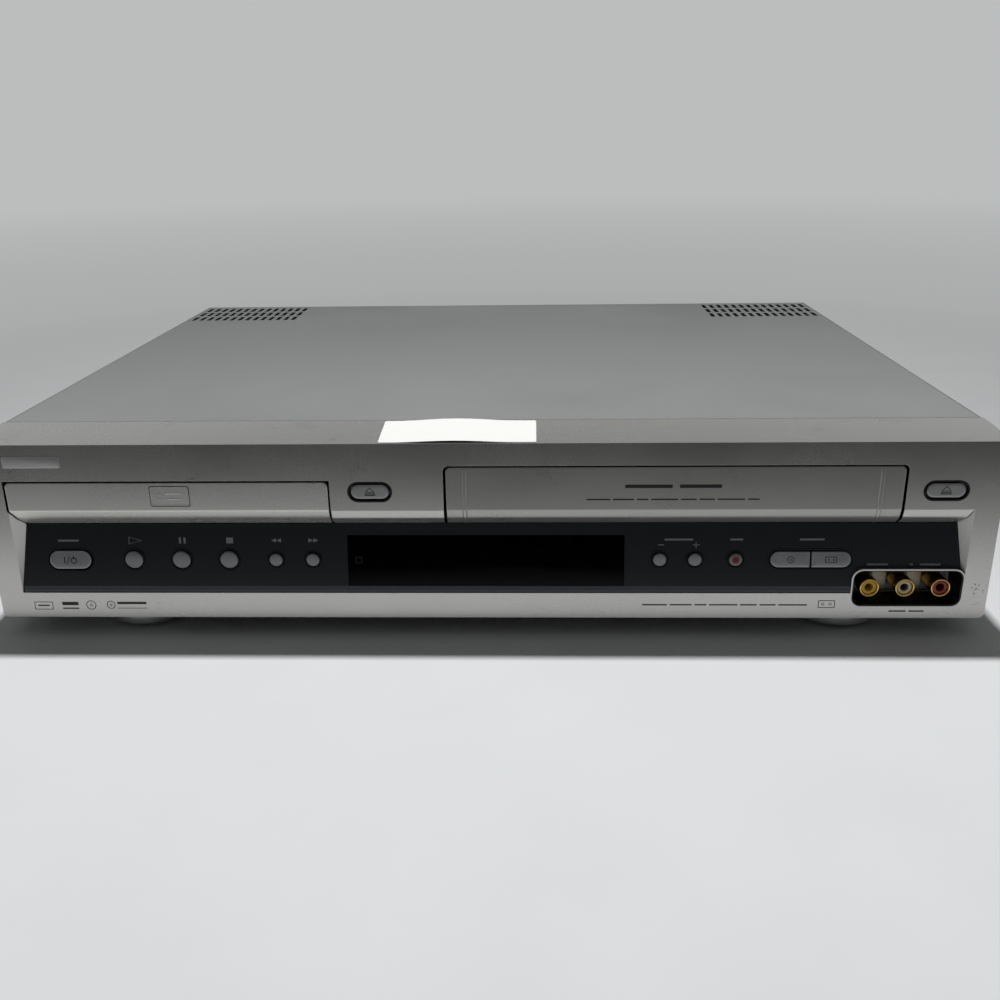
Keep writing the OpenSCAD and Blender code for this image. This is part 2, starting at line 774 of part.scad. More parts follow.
// Tin can of the aerial tuner with its two threaded connectors.
module tuner() color("#b4b6b8") placed() {
    y1 = rear_y - 1;
    difference() {
        union() {
            box(aerial_x - 20, aerial_x + 20, y1 - 62, y1, board_top, aerial_z[1] + 10);
            for (z = aerial_z) {
                rod_y(aerial_x, y1 - 1, rear_y, z, aerial_dia + hole_shoulder);
                rod_y(aerial_x, y1 - 1, total_d, z, aerial_dia);
            }
        }
        for (z = aerial_z) rod_y(aerial_x, rear_y + 1, total_d + 1, z, aerial_bore);
    }
}

// Plastic blocks behind the rear panel that hold the two rows of sockets.
module rear_jack_blocks() color("#222326") placed() {
    r = 7;
    x0 = rear_jack_x - r;
    x1 = rear_jack_x + 2 * rear_jack_pitch + r;
    for (z = rear_jack_z) box(x0, x1, rear_y - 14, rear_y - 1, z - r, z + r);
    for (p = rear_jacks) rod_y(p[0], rear_y - 2, rear_y, p[1], jack_shell_dia + hole_shoulder);
    box(x0 + 3, x1 - 3, rear_y - 12, rear_y - 4, board_top, rear_jack_z[0] - r);
    box(x0 + 3, x1 - 3, rear_y - 12, rear_y - 4, rear_jack_z[0] + r, rear_jack_z[1] - r);
}

// A socket's metal shell from y0 to y1, hollow from one place to another.
module jack_shell(x, z, y0, y1, hollow_y0, hollow_y1) {
    difference() {
        rod_y(x, y0, y1, z, jack_shell_dia);
        rod_y(x, hollow_y0, hollow_y1, z, jack_shell_dia - 2 * shell_wall);
    }
}

// The shells of the front and rear sockets.
module jack_shells() color("#c9a54a") placed() {
    for (i = [0 : 2]) jack_shell(
        front_jack_x(i), front_jack_z, front_jack_y, jack_cup_d,
        front_jack_y - 1, jack_cup_d - shell_base
    );
    for (p = rear_jacks) jack_shell(p[0], p[1], rear_y, total_d, rear_y + shell_base, total_d + 1);
}

// Insulators of one colour: one at the front and one in each row at the back.
module jack_inserts(i) {
    insert_dia = jack_shell_dia - 2 * shell_wall - 0.1;
    difference() {
        rod_y(front_jack_x(i), front_jack_y + 0.8, jack_cup_d - shell_base, front_jack_z, insert_dia);
        rod_y(front_jack_x(i), front_jack_y - 1, jack_cup_d - 2 * shell_base, front_jack_z, jack_bore_dia);
    }
    for (p = rear_jacks) if (p[2] == i) difference() {
        rod_y(p[0], rear_y + shell_base, total_d - 0.8, p[1], insert_dia);
        rod_y(p[0], rear_y + 2 * shell_base, total_d + 1, p[1], jack_bore_dia);
    }
}

module yellow_jack_inserts() color("#c9a227") placed() jack_inserts(0);
module white_jack_inserts() color("#dcd6c8") placed() jack_inserts(1);
module red_jack_inserts() color("#5a1216") placed() jack_inserts(2);

// Black cup around the three front sockets, with their body behind it.
module jack_cup() color("#1b1b1a") placed() {
    cup_wall = 1.2;
    cup_base = 1.5;
    difference() {
        along_y(0.3, jack_cup_d + cup_base) jack_outline(0);
        along_y(-1, jack_cup_d) jack_outline(-cup_wall);
    }
    box(
        jack_cup_x - 20, jack_cup_x + 20, jack_cup_d + cup_base, jack_cup_d + cup_base + 2.5,
        jack_cup_z0 + 2, jack_cup_z0 + jack_cup_h - 2
    );
}

// ---- Control panel ----

// Smoked panel in the recess: button holes, window seat, jack corner and board posts.
module control_panel() color("#17191d") placed() {
    difference() {
        union() {
            intersection() {
                along_y(-1, recess_d + panel_t + 1) floor_outline(0.15);
                along_x(-hw, hw) polygon([
                    [0, recess_z0], [recess_d, recess_z1],
                    [recess_d + panel_t, recess_z1], [panel_t, recess_z0]
                ]);
            }
            for (x = board_post_x) rod_y(x, recess_y(board_post_z) + 1, front_board_y, board_post_z, 3.4);
        }
        along_y(-1, recess_d + panel_t + 1) jack_outline(jack_rim + 0.2);
        box(
            jack_cup_x, hw, -1, recess_d + panel_t + 1,
            0, jack_cup_z0 + jack_cup_h - jack_corner_r
        );
        window_slab(-1, 0.15);
        for (b = round_buttons) rod_y(b[0], -1, 12, button_z, b[1] + 2 * button_gap);
        for (b = [[power_x, power_w, power_h], [select_x, select_w, select_h]])
            along_y(-1, 12) translate([b[0], button_z]) stadium(b[1] + 2 * button_gap, b[2] + 2 * button_gap);
    }
}

// The display window's solid, or its seat: a slanted slab with a margin.
module window_slab(front, margin) {
    intersection() {
        along_y(-2, recess_d + panel_t + 2)
            translate([-window_hw - margin, window_z0 - margin])
                square([2 * (window_hw + margin), window_z1 - window_z0 + 2 * margin]);
        along_x(-hw, hw) polygon([
            [front + recess_y(recess_z0), recess_z0], [front + recess_d, recess_z1],
            [recess_d + panel_t - 2 * front, recess_z1], [panel_t - 2 * front, recess_z0]
        ]);
    }
}

// Glossy black window in front of the display tube.
module display_window() color("#050506") placed() window_slab(0, 0);

// Vacuum display tube with the feet that hold it off the front board.
module display_tube() color("#3c5c58") placed() {
    box(-53, 53, 9.5, 16, front_board_z0 + 4, front_board_z1 - 1);
    for (s = [-1, 1]) mirrored(s) box(46, 52, 16, front_board_y, front_board_z0 + 5, front_board_z1 - 2);
}

// Upright board with a switch behind every button, and the two small eject boards.
module front_board() color("#35603f") placed() {
    box(-hw + 17, hw - 65, front_board_y, front_board_y + board_t, front_board_z0, front_board_z1);
    for (b = round_buttons) tact_switch(b[0], front_board_y, button_z);
    for (x = [power_x, select_x - select_w / 4, select_x + select_w / 4])
        tact_switch(x, front_board_y, button_z);
    for (x = [eject_disc_x, eject_tape_x]) {
        box(x - 8, x + 8, eject_board_y, eject_board_y + board_t, eject_z - 5, eject_z + 9);
        tact_switch(x, eject_board_y, eject_z);
    }
}

// A push switch on the front of an upright board, its plunger to the front.
module tact_switch(x, y, z) {
    box(x - switch_w / 2, x + switch_w / 2, y - 2, y, z - 2.5, z + 2.5);
    rod_y(x, y - switch_l, y - 2, z, 3);
}

// ---- Buttons ----

// A domed round button with its collar behind the panel and its stem.
module round_button(x, d) {
    y0 = recess_y(button_z) - button_proud;
    collar = recess_y(button_z) + panel_t + 1.5 - y0;
    stem = front_board_y - switch_l - switch_gap - button_travel - y0;
    translate([x, y0, button_z]) rotate([-90, 0, 0]) rotate_extrude() polygon(concat(
        [for (i = [0 : 6]) [d / 2 * i / 6, 0.1 * d * pow(i / 6, 2)]],
        [[d / 2, collar], [d / 2 + 1.5, collar], [d / 2 + 1.5, collar + 1.2]],
        [[1.8, collar + 1.2], [1.8, stem], [0, stem]]
    ));
}

// A stadium-shaped button, or the part of one between two places across.
module long_button(x, w, h, x0, x1) {
    back = recess_y(button_z) + panel_t + 3.4;
    proud = button_proud * 0.7;
    intersection() {
        union() {
            intersection() {
                along_y(0, back) translate([x, button_z]) stadium(w, h);
                along_x(x0, x1) polygon([
                    [recess_y(button_z - h / 2) - proud, button_z - h / 2],
                    [recess_y(button_z + h / 2) - proud, button_z + h / 2],
                    [back, button_z + h / 2], [back, button_z - h / 2]
                ]);
            }
            along_y(back - 1.2, back) translate([x, button_z]) stadium(w + 3, h + 3);
        }
        box(x0 - (x0 < x - w / 2 ? 3 : 0), x1 + (x1 > x + w / 2 ? 3 : 0), 0, back, 0, body_h);
    }
    stem_x = (max(x0, x - w / 2) + min(x1, x + w / 2)) / 2;
    rod_y(stem_x, back - tiny, front_board_y - switch_l - switch_gap - button_travel, button_z, 3.6);
}

// A flat stadium-shaped button in the bezel's face.
module eject_button(x) {
    along_y(eject_sink, bezel_t + 1) translate([x, eject_z]) stadium(eject_w, eject_h);
    along_y(bezel_t + 0.4, bezel_t + 1.6) translate([x, eject_z]) stadium(eject_w + 3, eject_h + 3);
    rod_y(x, bezel_t + 1, eject_board_y - switch_l - switch_gap - button_travel, eject_z, 3.6);
}

module power_button() color("#6d6e70") placed()
    long_button(power_x, power_w, power_h, power_x - power_w, power_x + power_w);
module play_button() color("#6d6e70") placed() round_button(play_x, big_button_dia);
module pause_button() color("#6d6e70") placed() round_button(pause_x, big_button_dia);
module stop_button() color("#6d6e70") placed() round_button(stop_x, big_button_dia);
module rewind_button() color("#6d6e70") placed() round_button(rewind_x, small_button_dia);
module forward_button() color("#6d6e70") placed() round_button(forward_x, small_button_dia);
module channel_down_button() color("#6d6e70") placed() round_button(channel_down_x, small_button_dia);
module channel_up_button() color("#6d6e70") placed() round_button(channel_up_x, small_button_dia);
module record_button() color("#7a5a60") placed() round_button(record_x, small_button_dia);
module disc_source_button() color("#6d6e70") placed()
    long_button(select_x, select_w, select_h, select_x - select_w, select_x - 0.3);
module tape_source_button() color("#6d6e70") placed()
    long_button(select_x, select_w, select_h, select_x + 0.3, select_x + select_w);
module disc_eject_button() color("#8a8a8a") placed() eject_button(eject_disc_x);
module tape_eject_button() color("#8a8a8a") placed() eject_button(eject_tape_x);

// ---- Doors ----

// A door's bent section: upright above, slanted in the recess's upper edge.
module door_section(z1) {
    polygon([
        [0, z1], [0, recess_z2], [recess_d, recess_z1 + 0.2], [recess_d + door_t, recess_z1 + 0.2],
        [recess_d + door_t, recess_z1 + 1], [door_t, recess_z2 + 0.8], [door_t, z1]
    ]);
}

// Door on the front of the disc tray, its lower left corner cut along the recess's mitre.
module tray_door() color("#83827f") placed() {
    x0 = disc_x - disc_door_w / 2;
    x1 = disc_x + disc_door_w / 2;
    intersection() {
        along_x(-hw, hw) door_section(disc_door_z1);
        along_y(-1, recess_d + door_t + 1) difference() {
            door_outline(x0, x1, recess_z1, disc_door_z1, 2);
            polygon([
                [x0 - 1, recess_z2 - 0.3], [x0, recess_z2 - 0.3],
                [-recess_hw + recess_slant + 0.3, recess_z1], [x0 - 1, recess_z1]
            ]);
        }
    }
}

// Cassette door with two hinge arms and their pins.
module cassette_door() color("#6f6e6d") placed() {
    x0 = tape_x - tape_door_w / 2;
    x1 = tape_x + tape_door_w / 2;
    intersection() {
        along_x(x0 - 1, x1 + 1) door_section(tape_door_z1);
        along_y(-1, recess_d + door_t + 1) door_outline(x0, x1, recess_z1, tape_door_z1, 2);
    }
    arm_w = 2.5;
    for (x = [x0 + 0.5, x1 - 0.5 - arm_w]) {
        along_x(x, x + arm_w) polygon([
            [hinge_y - hinge_arm_r, hinge_z], [hinge_y - hinge_arm_r, hinge_z - 3],
            [door_t - tiny, hinge_z - 5], [door_t - tiny, hinge_z - 13],
            [hinge_y + hinge_arm_r, hinge_z - 13], [hinge_y + hinge_arm_r, hinge_z]
        ]);
        rod_x(x, x + arm_w, hinge_y, hinge_z, 2 * hinge_arm_r);
    }
    pin_l = door_bracket_t - 0.5;
    rod_x(x0 - panel_gap - pin_l, x0 + 1, hinge_y, hinge_z, hinge_pin);
    rod_x(x1 - 1, x1 + panel_gap + pin_l, hinge_y, hinge_z, hinge_pin);
}

// ---- Disc drive ----

// Moulded frame: side walls on legs, tray guides, gear shafts, traverse bearings.
module loader_frame() color("#26272a") placed() {
    x0 = disc_x - frame_w / 2;
    x1 = disc_x + frame_w / 2;
    difference() {
        union() {
            for (x = [x0, x1 - frame_t]) box(x, x + frame_t, frame_y0, frame_y1, frame_z0, frame_z1);
            box(x0, x1, frame_y0, frame_y0 + frame_t, frame_z0, rail_z - 0.2);
            box(x0, x1, frame_y1 - frame_t, frame_y1, frame_z0, frame_z1);
            box(x0, x1, frame_y0, traverse_y0 - 1.5, frame_z0, frame_z0 + 2);
            box(x0, x1, traverse_y1 + 1.5, frame_y1, frame_z0, frame_z0 + 1.5);
            box(x0, x0 + frame_t + 4.5, frame_y0, tray_y0 + tray_l, rail_z - 1.4, rail_z - 0.2);
            box(x1 - frame_t - 4.5, x1, gear_y + drive_r + 3, tray_y0 + tray_l, rail_z - 1.4, rail_z - 0.2);
            for (y = [60, 100, 140]) {
                box(x0, x0 + frame_t + 4, y, y + 10, tray_top_z + 0.3, tray_top_z + 2);
                box(x1 - frame_t - 4, x1, y, y + 10, tray_top_z + 0.3, tray_top_z + 2);
            }
            for (s = [-1, 1], y = [frame_y0 + 5, frame_y1 - 5])
                rod_z(disc_x + s * (frame_w / 2 - 4), y, floor_z, frame_z0 + 1, 8);
            for (x = pivot_block_x) box(
                x, x + pivot_block_w, traverse_pivot_y - 5, traverse_pivot_y + 5,
                frame_z0, traverse_pivot_z + 5
            );
            rod_z(pinion_x, gear_y, frame_z0 + 1, drive_z - 0.2, 6);
            rod_z(pinion_x, gear_y, frame_z0 + 1, pinion_z + pinion_h, gear_shaft);
            rod_z(belt_gear_x, gear_y, frame_z0 + 1, belt_z - 0.2 - flange_t, 6);
            rod_z(belt_gear_x, gear_y, frame_z0 + 1, drive_z + drive_h + 1, gear_shaft);
        }
        for (x = pivot_block_x)
            rod_x(x - 1, x + pivot_block_w + 1, traverse_pivot_y, traverse_pivot_z, pivot_dia + 0.1);
        rod_z(loader_motor_x, gear_y, frame_z0 - 1, frame_z0 + 3, 6);
    }
}

// Tray with wells for two sizes of disc, a slot for the turntable, runners and a toothed rack.
module disc_tray() color("#2c2d30") placed() {
    x0 = disc_x - tray_w / 2;
    x1 = disc_x + tray_w / 2;
    y1 = tray_y0 + tray_l;
    difference() {
        union() {
            box(x0, x1, tray_y0, y1, tray_z, tray_top_z);
            box(x0, x0 + rail_t, tray_y0 + 8, y1, rail_z, tray_z + tiny);
            box(x1 - rail_t, x1, tray_y0 + 8, y1, rail_z, tray_z + tiny);
        }
        rod_z(disc_x, spindle_y, disc_z, tray_top_z + 1, well_dia);
        rod_z(disc_x, spindle_y, disc_z - small_well_depth, tray_top_z + 1, small_well_dia);
        rod_z(disc_x, spindle_y, tray_z - 1, tray_top_z + 1, tray_slot_w);
        box(
            disc_x - tray_slot_w / 2, disc_x + tray_slot_w / 2, spindle_y, y1 + 1,
            tray_z - 1, tray_top_z + 1
        );
    }
    along_z(rail_z, tray_z + tiny) rack_outline(x1 - rail_t, tray_y0 + tray_l - 2);
}

// Rack teeth on a runner's inner face, in step with the pinion.
module rack_outline(x, y_end) {
    step = PI * rack_module;
    first = gear_y - 3.5 * step;
    half = step / 4 - 0.12 * rack_module;
    root = x;
    pitch = x - 1.15 * rack_module;
    tip = pitch - 0.8 * rack_module;
    for (i = [0 : floor((y_end - first) / step)]) translate([0, first + i * step]) polygon([
        [root + 0.1, -1.45 * half], [root, -1.45 * half], [pitch, -half], [tip, -half / 2],
        [tip, half / 2], [pitch, half], [root, 1.45 * half], [root + 0.1, 1.45 * half]
    ]);
}

// Tray motor, hung below the frame's floor.
module loader_motor() color("#a7a9ab") placed() {
    difference() {
        rod_z(loader_motor_x, gear_y, frame_z0 - 15, frame_z0, 20);
        rod_z(loader_motor_x, gear_y, frame_z0 - 4, frame_z0 + 1, 2.1);
    }
}

// A belt pulley: two flanges and the belt's seat between them.
module pulley(seat_dia) {
    translate([0, 0, -flange_t]) cylinder(d = seat_dia + 2 * flange_w, h = flange_t);
    cylinder(d = seat_dia, h = pulley_h);
    translate([0, 0, pulley_h]) cylinder(d = seat_dia + 2 * flange_w, h = flange_t);
}

// Motor pulley with the motor's shaft.
module loader_motor_pulley() color("#c8b070") placed() {
    translate([loader_motor_x, gear_y, belt_z]) pulley(motor_pulley_dia);
    rod_z(loader_motor_x, gear_y, frame_z0 - 3.5, belt_z, 2);
}

// A belt's outline round two round seats on the x axis, larger by a margin.
module belt_outline(margin) {
    hull() {
        circle(d = motor_pulley_dia + 2 * margin);
        translate([belt_gear_x - loader_motor_x, 0]) circle(d = pulley_dia + 2 * margin);
    }
}

// Rubber belt from the motor's pulley to the belt gear.
module loader_belt() color("#151515") placed() {
    translate([loader_motor_x, gear_y, belt_z + (pulley_h - belt_t) / 2])
        linear_extrude(belt_t) difference() {
            belt_outline(belt_gap + belt_w);
            belt_outline(belt_gap);
        }
}

// Belt pulley with the small gear above it.
module loader_belt_gear() color("#d9d6cc") placed() {
    translate([belt_gear_x, gear_y, 0]) difference() {
        union() {
            translate([0, 0, belt_z]) pulley(pulley_dia);
            translate([0, 0, belt_z]) cylinder(d = 8, h = drive_z - belt_z + tiny);
            translate([0, 0, drive_z]) linear_extrude(drive_h) rotate(180 / belt_gear_teeth)
                gear_outline(rack_module, belt_gear_teeth);
        }
        cylinder(d = gear_bore, h = body_h);
    }
}

// Drive wheel with the pinion that moves the tray's rack.
module loader_drive_gear() color("#e4e1d8") placed() {
    translate([pinion_x, gear_y, 0]) difference() {
        union() {
            translate([0, 0, drive_z]) linear_extrude(drive_h) gear_outline(rack_module, drive_teeth);
            translate([0, 0, drive_z]) cylinder(d = 10, h = pinion_z - drive_z + tiny);
            translate([0, 0, pinion_z]) linear_extrude(pinion_h) gear_outline(rack_module, pinion_teeth);
        }
        cylinder(d = gear_bore, h = body_h);
    }
}

// Bridge over the tray that carries the clamper.
module clamp_bridge() color("#b3b5b6") placed() {
    x0 = disc_x - frame_w / 2;
    x1 = disc_x + frame_w / 2;
    half_l = 17;
    rib_t = 2;
    difference() {
        union() {
            box(x0, x1, spindle_y - half_l, spindle_y + half_l, bridge_z, bridge_z + bridge_t);
            for (y = [spindle_y - half_l, spindle_y + half_l - rib_t])
                box(x0, x1, y, y + rib_t, bridge_z, bridge_z + 5);
        }
        rod_z(disc_x, spindle_y, bridge_z - 1, bridge_z + bridge_t + 1, clamper_neck + 1);
    }
}

// Magnetic clamper: a disc over the turntable, a neck in the bridge and a flange above it.
module disc_clamper() color("#33353a") placed() {
    difference() {
        union() {
            rod_z(disc_x, spindle_y, turntable_z + 0.3, turntable_z + 4, clamper_dia);
            rod_z(disc_x, spindle_y, turntable_z + 3, bridge_z + bridge_t + 1.5, clamper_neck);
            rod_z(disc_x, spindle_y, bridge_z + bridge_t + 0.3, bridge_z + bridge_t + 1.8, clamper_neck + 6);
        }
        rod_z(disc_x, spindle_y, turntable_z, turntable_z + hub_h + 0.6, spindle_dia + 1);
    }
}

// Tilting plate with the spindle motor, the sled's motor, rods and bearings.
module traverse() color("#8f9193") placed() {
    x0 = disc_x - traverse_w / 2;
    x1 = disc_x + traverse_w / 2;
    z1 = traverse_z + traverse_t;
    difference() {
        union() {
            box(x0, x1, traverse_y0, traverse_y1, traverse_z, z1);
            rod_z(disc_x, spindle_y, z1 - tiny, turntable_z - 4, spindle_motor_dia);
            for (x = [disc_x - rod_off, disc_x + rod_off]) {
                for (y = [rod_front_y, rod_end_y - bearing_l])
                    box(x - 3, x + 3, y, y + bearing_l, z1 - tiny, rod_z + 3);
                rod_y(x, rod_front_y, rod_end_y, rod_z, rod_dia);
            }
            box(screw_x - 4, screw_x + 4, rod_end_y - bearing_l, rod_end_y, z1 - tiny, rod_z + 4);
            rod_y(screw_x, screw_y0 - sled_motor_l, screw_y0, rod_z, sled_motor_dia);
            box(
                screw_x - sled_motor_dia / 2, screw_x + sled_motor_dia / 2,
                screw_y0 - sled_motor_l, screw_y0, z1 - tiny, rod_z
            );
            for (s = [-1, 1]) translate([disc_x, 0, 0]) mirrored(s) {
                box(
                    traverse_w / 2 - 6, traverse_w / 2, traverse_y1 - 4, traverse_pivot_y + 2,
                    traverse_z, z1
                );
                rod_x(traverse_w / 2 - 3, traverse_w / 2 + 7, traverse_pivot_y, traverse_pivot_z, pivot_dia);
            }
        }
        box(
            disc_x - rod_off - 6, disc_x + rod_off + 6, sled_y - sled_l / 2 + 2, rod_end_y - 6,
            traverse_z - 1, z1 + 0.5
        );
        rod_z(disc_x, spindle_y, turntable_z - 12, turntable_z, spindle_shaft + 0.1);
        rod_y(screw_x, screw_y0 - 5, screw_y0 + 1, rod_z, screw_dia + 0.1);
        rod_y(screw_x, rod_end_y - 5, rod_end_y + 1, rod_z, screw_dia + 0.1);
    }
}

// Turntable with its centring hub and shaft.
module turntable() color("#4b4d50") placed() {
    rod_z(disc_x, spindle_y, turntable_z - 2.5, turntable_z, turntable_dia);
    translate([disc_x, spindle_y, turntable_z]) cylinder(d1 = spindle_dia, d2 = spindle_dia - 2, h = hub_h);
    rod_z(disc_x, spindle_y, turntable_z - 11, turntable_z - 2, spindle_shaft);
}

// Pickup sled on two rods, with the lens on top and a nut on the lead screw.
module pickup_sled() color("#7d8084") placed() {
    difference() {
        union() {
            box(
                disc_x - rod_off - 5, disc_x + rod_off + 5, sled_y - sled_l / 2, sled_y + sled_l / 2,
                sled_z, sled_z + sled_h
            );
            rod_z(disc_x, sled_y - 6, sled_z + sled_h - 0.5, sled_z + sled_h + 3, 9);
            box(disc_x + rod_off + 4, screw_x + 4, sled_y - 5, sled_y + 5, sled_z, sled_z + sled_h);
        }
        for (s = [-1, 1])
            rod_y(disc_x + s * rod_off, sled_y - sled_l, sled_y + sled_l, rod_z, rod_dia + 0.1);
        rod_y(screw_x, sled_y - sled_l, sled_y + sled_l, rod_z, screw_dia + 0.7);
    }
}

// Lead screw that moves the sled: a rod with turned grooves.
module lead_screw() color("#c6c8ca") placed() {
    y0 = screw_y0 - 4;
    length = rod_end_y - 0.5 - y0;
    grooved = length - 11 - bearing_l;
    translate([screw_x, y0, rod_z]) rotate([-90, 0, 0]) difference() {
        cylinder(d = screw_dia, h = length);
        for (z = [7 : 4 : 7 + grooved]) ring_z(0, 0, z, z + screw_groove, screw_dia + 1, screw_dia - 0.8);
    }
}

// ---- Tape deck ----

// Steel plate on folded sides, with its posts, heads, reel spindles and bearings.
module tape_deck_plate() color("#b7b8b6") placed() {
    x0 = tape_x - deck_hw;
    x1 = tape_x + deck_hw;
    difference() {
        union() {
            box(x0, x1, deck_y0, deck_y1, deck_z, deck_top);
            for (x = [x0, x1 - deck_t]) box(x, x + deck_t, deck_y0, deck_y1, floor_z, deck_z + tiny);
            rod_z(capstan_x, capstan_y, deck_z, deck_top + capstan_bearing_h, capstan_bearing_dia);
        }
        rod_z(capstan_x, capstan_y, deck_z - 1, deck_top + 8, capstan_dia + 0.1);
        for (dx = [-60, 0, 60]) rod_z(tape_x + dx, reel_y - 42, deck_z - 1, deck_top + 1, 22);
    }
    for (s = [-1, 1])
        rod_z(tape_x + s * reel_spacing / 2, reel_y, deck_top - tiny, deck_top + 13, spindle_pin);
    rod_z(pinch_pivot_x, pinch_pivot_y, deck_top - tiny, deck_top + 8, spindle_pin);
    for (dx = [-46, -30, 32]) guide_post(tape_x + dx, drum_y - 37);
    box(tape_x - 66, tape_x - 52, drum_y - 40, drum_y - 30, deck_top - tiny, deck_top + 24);
    box(capstan_x - 14, capstan_x - 6, drum_y - 33, drum_y - 22, deck_top - tiny, deck_top + 24);
}

// A tape guide: a post with two flanges that keep the tape at its height.
module guide_post(x, y) {
    rod_z(x, y, deck_top - tiny, deck_top + 26, 5);
    for (z = [8, 24]) rod_z(x, y, deck_top + z, deck_top + z + 1.5, 8);
}

// Two side brackets with a level guide slot each.
module holder_brackets() color("#a8aaab") placed() {
    y0 = holder_y0 - 3;
    y1 = carriage_y1 + carriage_travel + 4;
    for (s = [-1, 1]) translate([tape_x, 0, 0]) mirrored(s) {
        difference() {
            box(bracket_hw - bracket_t, bracket_hw, y0, y1, deck_top, carriage_z1);
            guide_cut(carriage_pin_y[0], carriage_pin_y[1] + carriage_travel, carriage_pin_z, carriage_pin_z);
            box(bracket_hw - 5, bracket_hw + 5, y0 + 12, y1 - 12, deck_top + 12, carriage_pin_z - 10);
        }
        box(bracket_hw - tiny, deck_hw, y0, y1, deck_top, deck_top + bracket_t);
    }
}

// A slot for a guide pin's way between two places, cut across the case.
module guide_cut(y0, y1, z0, z1) {
    x0 = holder_hw - 1;
    x1 = deck_hw + 1;
    rod_x(x0, x1, y0, z0, guide_slot);
    rod_x(x0, x1, y1, z1, guide_slot);
    if (y1 > y0) box(x0, x1, y0, y1, z0 - guide_slot / 2, z0 + guide_slot / 2);
    else box(x0, x1, y0 - guide_slot / 2, y0 + guide_slot / 2, z0, z1);
}

// Carriage that takes the holder to the back: two sides, two cross bars, guide pins.
module holder_carriage() color("#8a8d90") placed() {
    bar_t = 1.2;
    translate([tape_x, 0, 0]) {
        for (s = [-1, 1]) mirrored(s) {
            difference() {
                box(
                    carriage_hw - carriage_t, carriage_hw, carriage_y0, carriage_y1,
                    carriage_z0, carriage_z1
                );
                for (y = holder_pin_y) guide_cut(y, y, holder_pin_z - holder_drop, holder_pin_z);
            }
            for (y = carriage_pin_y)
                rod_x(carriage_hw - tiny, bracket_hw + 0.4, y, carriage_pin_z, guide_pin_dia);
        }
        for (y = [carriage_y0, carriage_y1 - 8])
            box(
                -carriage_hw + carriage_t, carriage_hw - carriage_t, y, y + 8,
                carriage_z1 - bar_t, carriage_z1
            );
    }
}

// Cassette holder: sides, ledges, a sprung top plate, a stop and four guide pins.
module cassette_holder() color("#9da0a2") placed() {
    z0 = holder_floor_z - holder_t;
    z1 = holder_floor_z + holder_h + holder_t;
    y1 = holder_y0 + holder_l;
    spring_x = 50;
    spring_y = holder_y0 + 14;
    translate([tape_x, 0, 0]) {
        for (s = [-1, 1]) mirrored(s) {
            box(holder_w / 2, holder_hw, holder_y0, y1, z0, z1);
            box(holder_w / 2 - 6, holder_w / 2 + tiny, holder_y0, y1, z0, holder_floor_z);
            for (y = holder_pin_y) rod_x(holder_hw - tiny, carriage_hw + 0.2, y, holder_pin_z, guide_pin_dia);
        }
        difference() {
            box(-holder_w / 2 - tiny, holder_w / 2 + tiny, holder_y0, y1, z1 - holder_t, z1);
            for (x = [-spring_x, spring_x])
                box(x - 12, x + 12, spring_y, y1 - 12, z1 - 2 * holder_t, z1 + 1);
        }
        for (x = [-spring_x, spring_x])
            box(x - 3, x + 3, spring_y - tiny, y1 - 16, z1 - holder_t, z1 - holder_t / 2);
        box(-holder_w / 2 + 10, holder_w / 2 - 10, y1 - holder_t, y1, z1 - 8, z1 - tiny);
    }
}

// Puts a drum part into the drum's leaning frame.
module on_drum() {
    translate([tape_x, drum_y, drum_z]) rotate([-drum_tilt, 0, 0]) children();
}

// Fixed lower drum on its foot.
module lower_drum() color("#c9cbcc") placed() {
    difference() {
        union() {
            on_drum() translate([0, 0, -2]) cylinder(d = drum_dia, h = lower_drum_h + 2);
            rod_z(tape_x, drum_y, deck_top, drum_z + 2, drum_dia * 0.7);
            for (dx = [-26, 26])
                box(tape_x + dx - 6, tape_x + dx + 6, drum_y - 5, drum_y + 5, deck_top, drum_z);
        }
        on_drum() translate([0, 0, 2]) cylinder(d = drum_shaft + 0.1, h = lower_drum_h);
    }
}

// Turning head drum with its shaft and rotor.
module head_drum() color("#dddfe0") placed() on_drum() {
    translate([0, 0, lower_drum_h + drum_gap]) cylinder(d = drum_dia, h = head_drum_h);
    translate([0, 0, lower_drum_h + drum_gap + head_drum_h - tiny]) cylinder(d = drum_dia * 0.62, h = 5);
    translate([0, 0, 4]) cylinder(d = drum_shaft, h = lower_drum_h);
}

// Capstan shaft with the flywheel below the deck plate.
module capstan() color("#cfd0ce") placed() {
    rod_z(capstan_x, capstan_y, flywheel_z, deck_top + 27, capstan_dia);
    rod_z(capstan_x, capstan_y, flywheel_z, flywheel_z + 5, flywheel_dia);
    rod_z(capstan_x, capstan_y, flywheel_z + 4, deck_z - 0.3, capstan_dia + 6);
}

// Arm that swings the pinch roller to the capstan.
module pinch_arm() color("#777a7c") placed() {
    z0 = deck_top + pinch_arm_gap;
    translate([pinch_pivot_x, pinch_pivot_y, 0]) difference() {
        union() {
            rod_z(0, 0, z0, z0 + 6.5, 8);
            rotate(pinch_arm_angle) {
                along_z(z0, z0 + pinch_arm_t) translate([pinch_arm_l / 2, 0]) stadium(pinch_arm_l + 7, 7);
                rod_z(pinch_arm_l, 0, z0 + pinch_arm_t - tiny, z0 + 20, spindle_pin);
            }
        }
        rod_z(0, 0, z0 - 1, z0 + 8, spindle_pin + 0.1);
    }
}

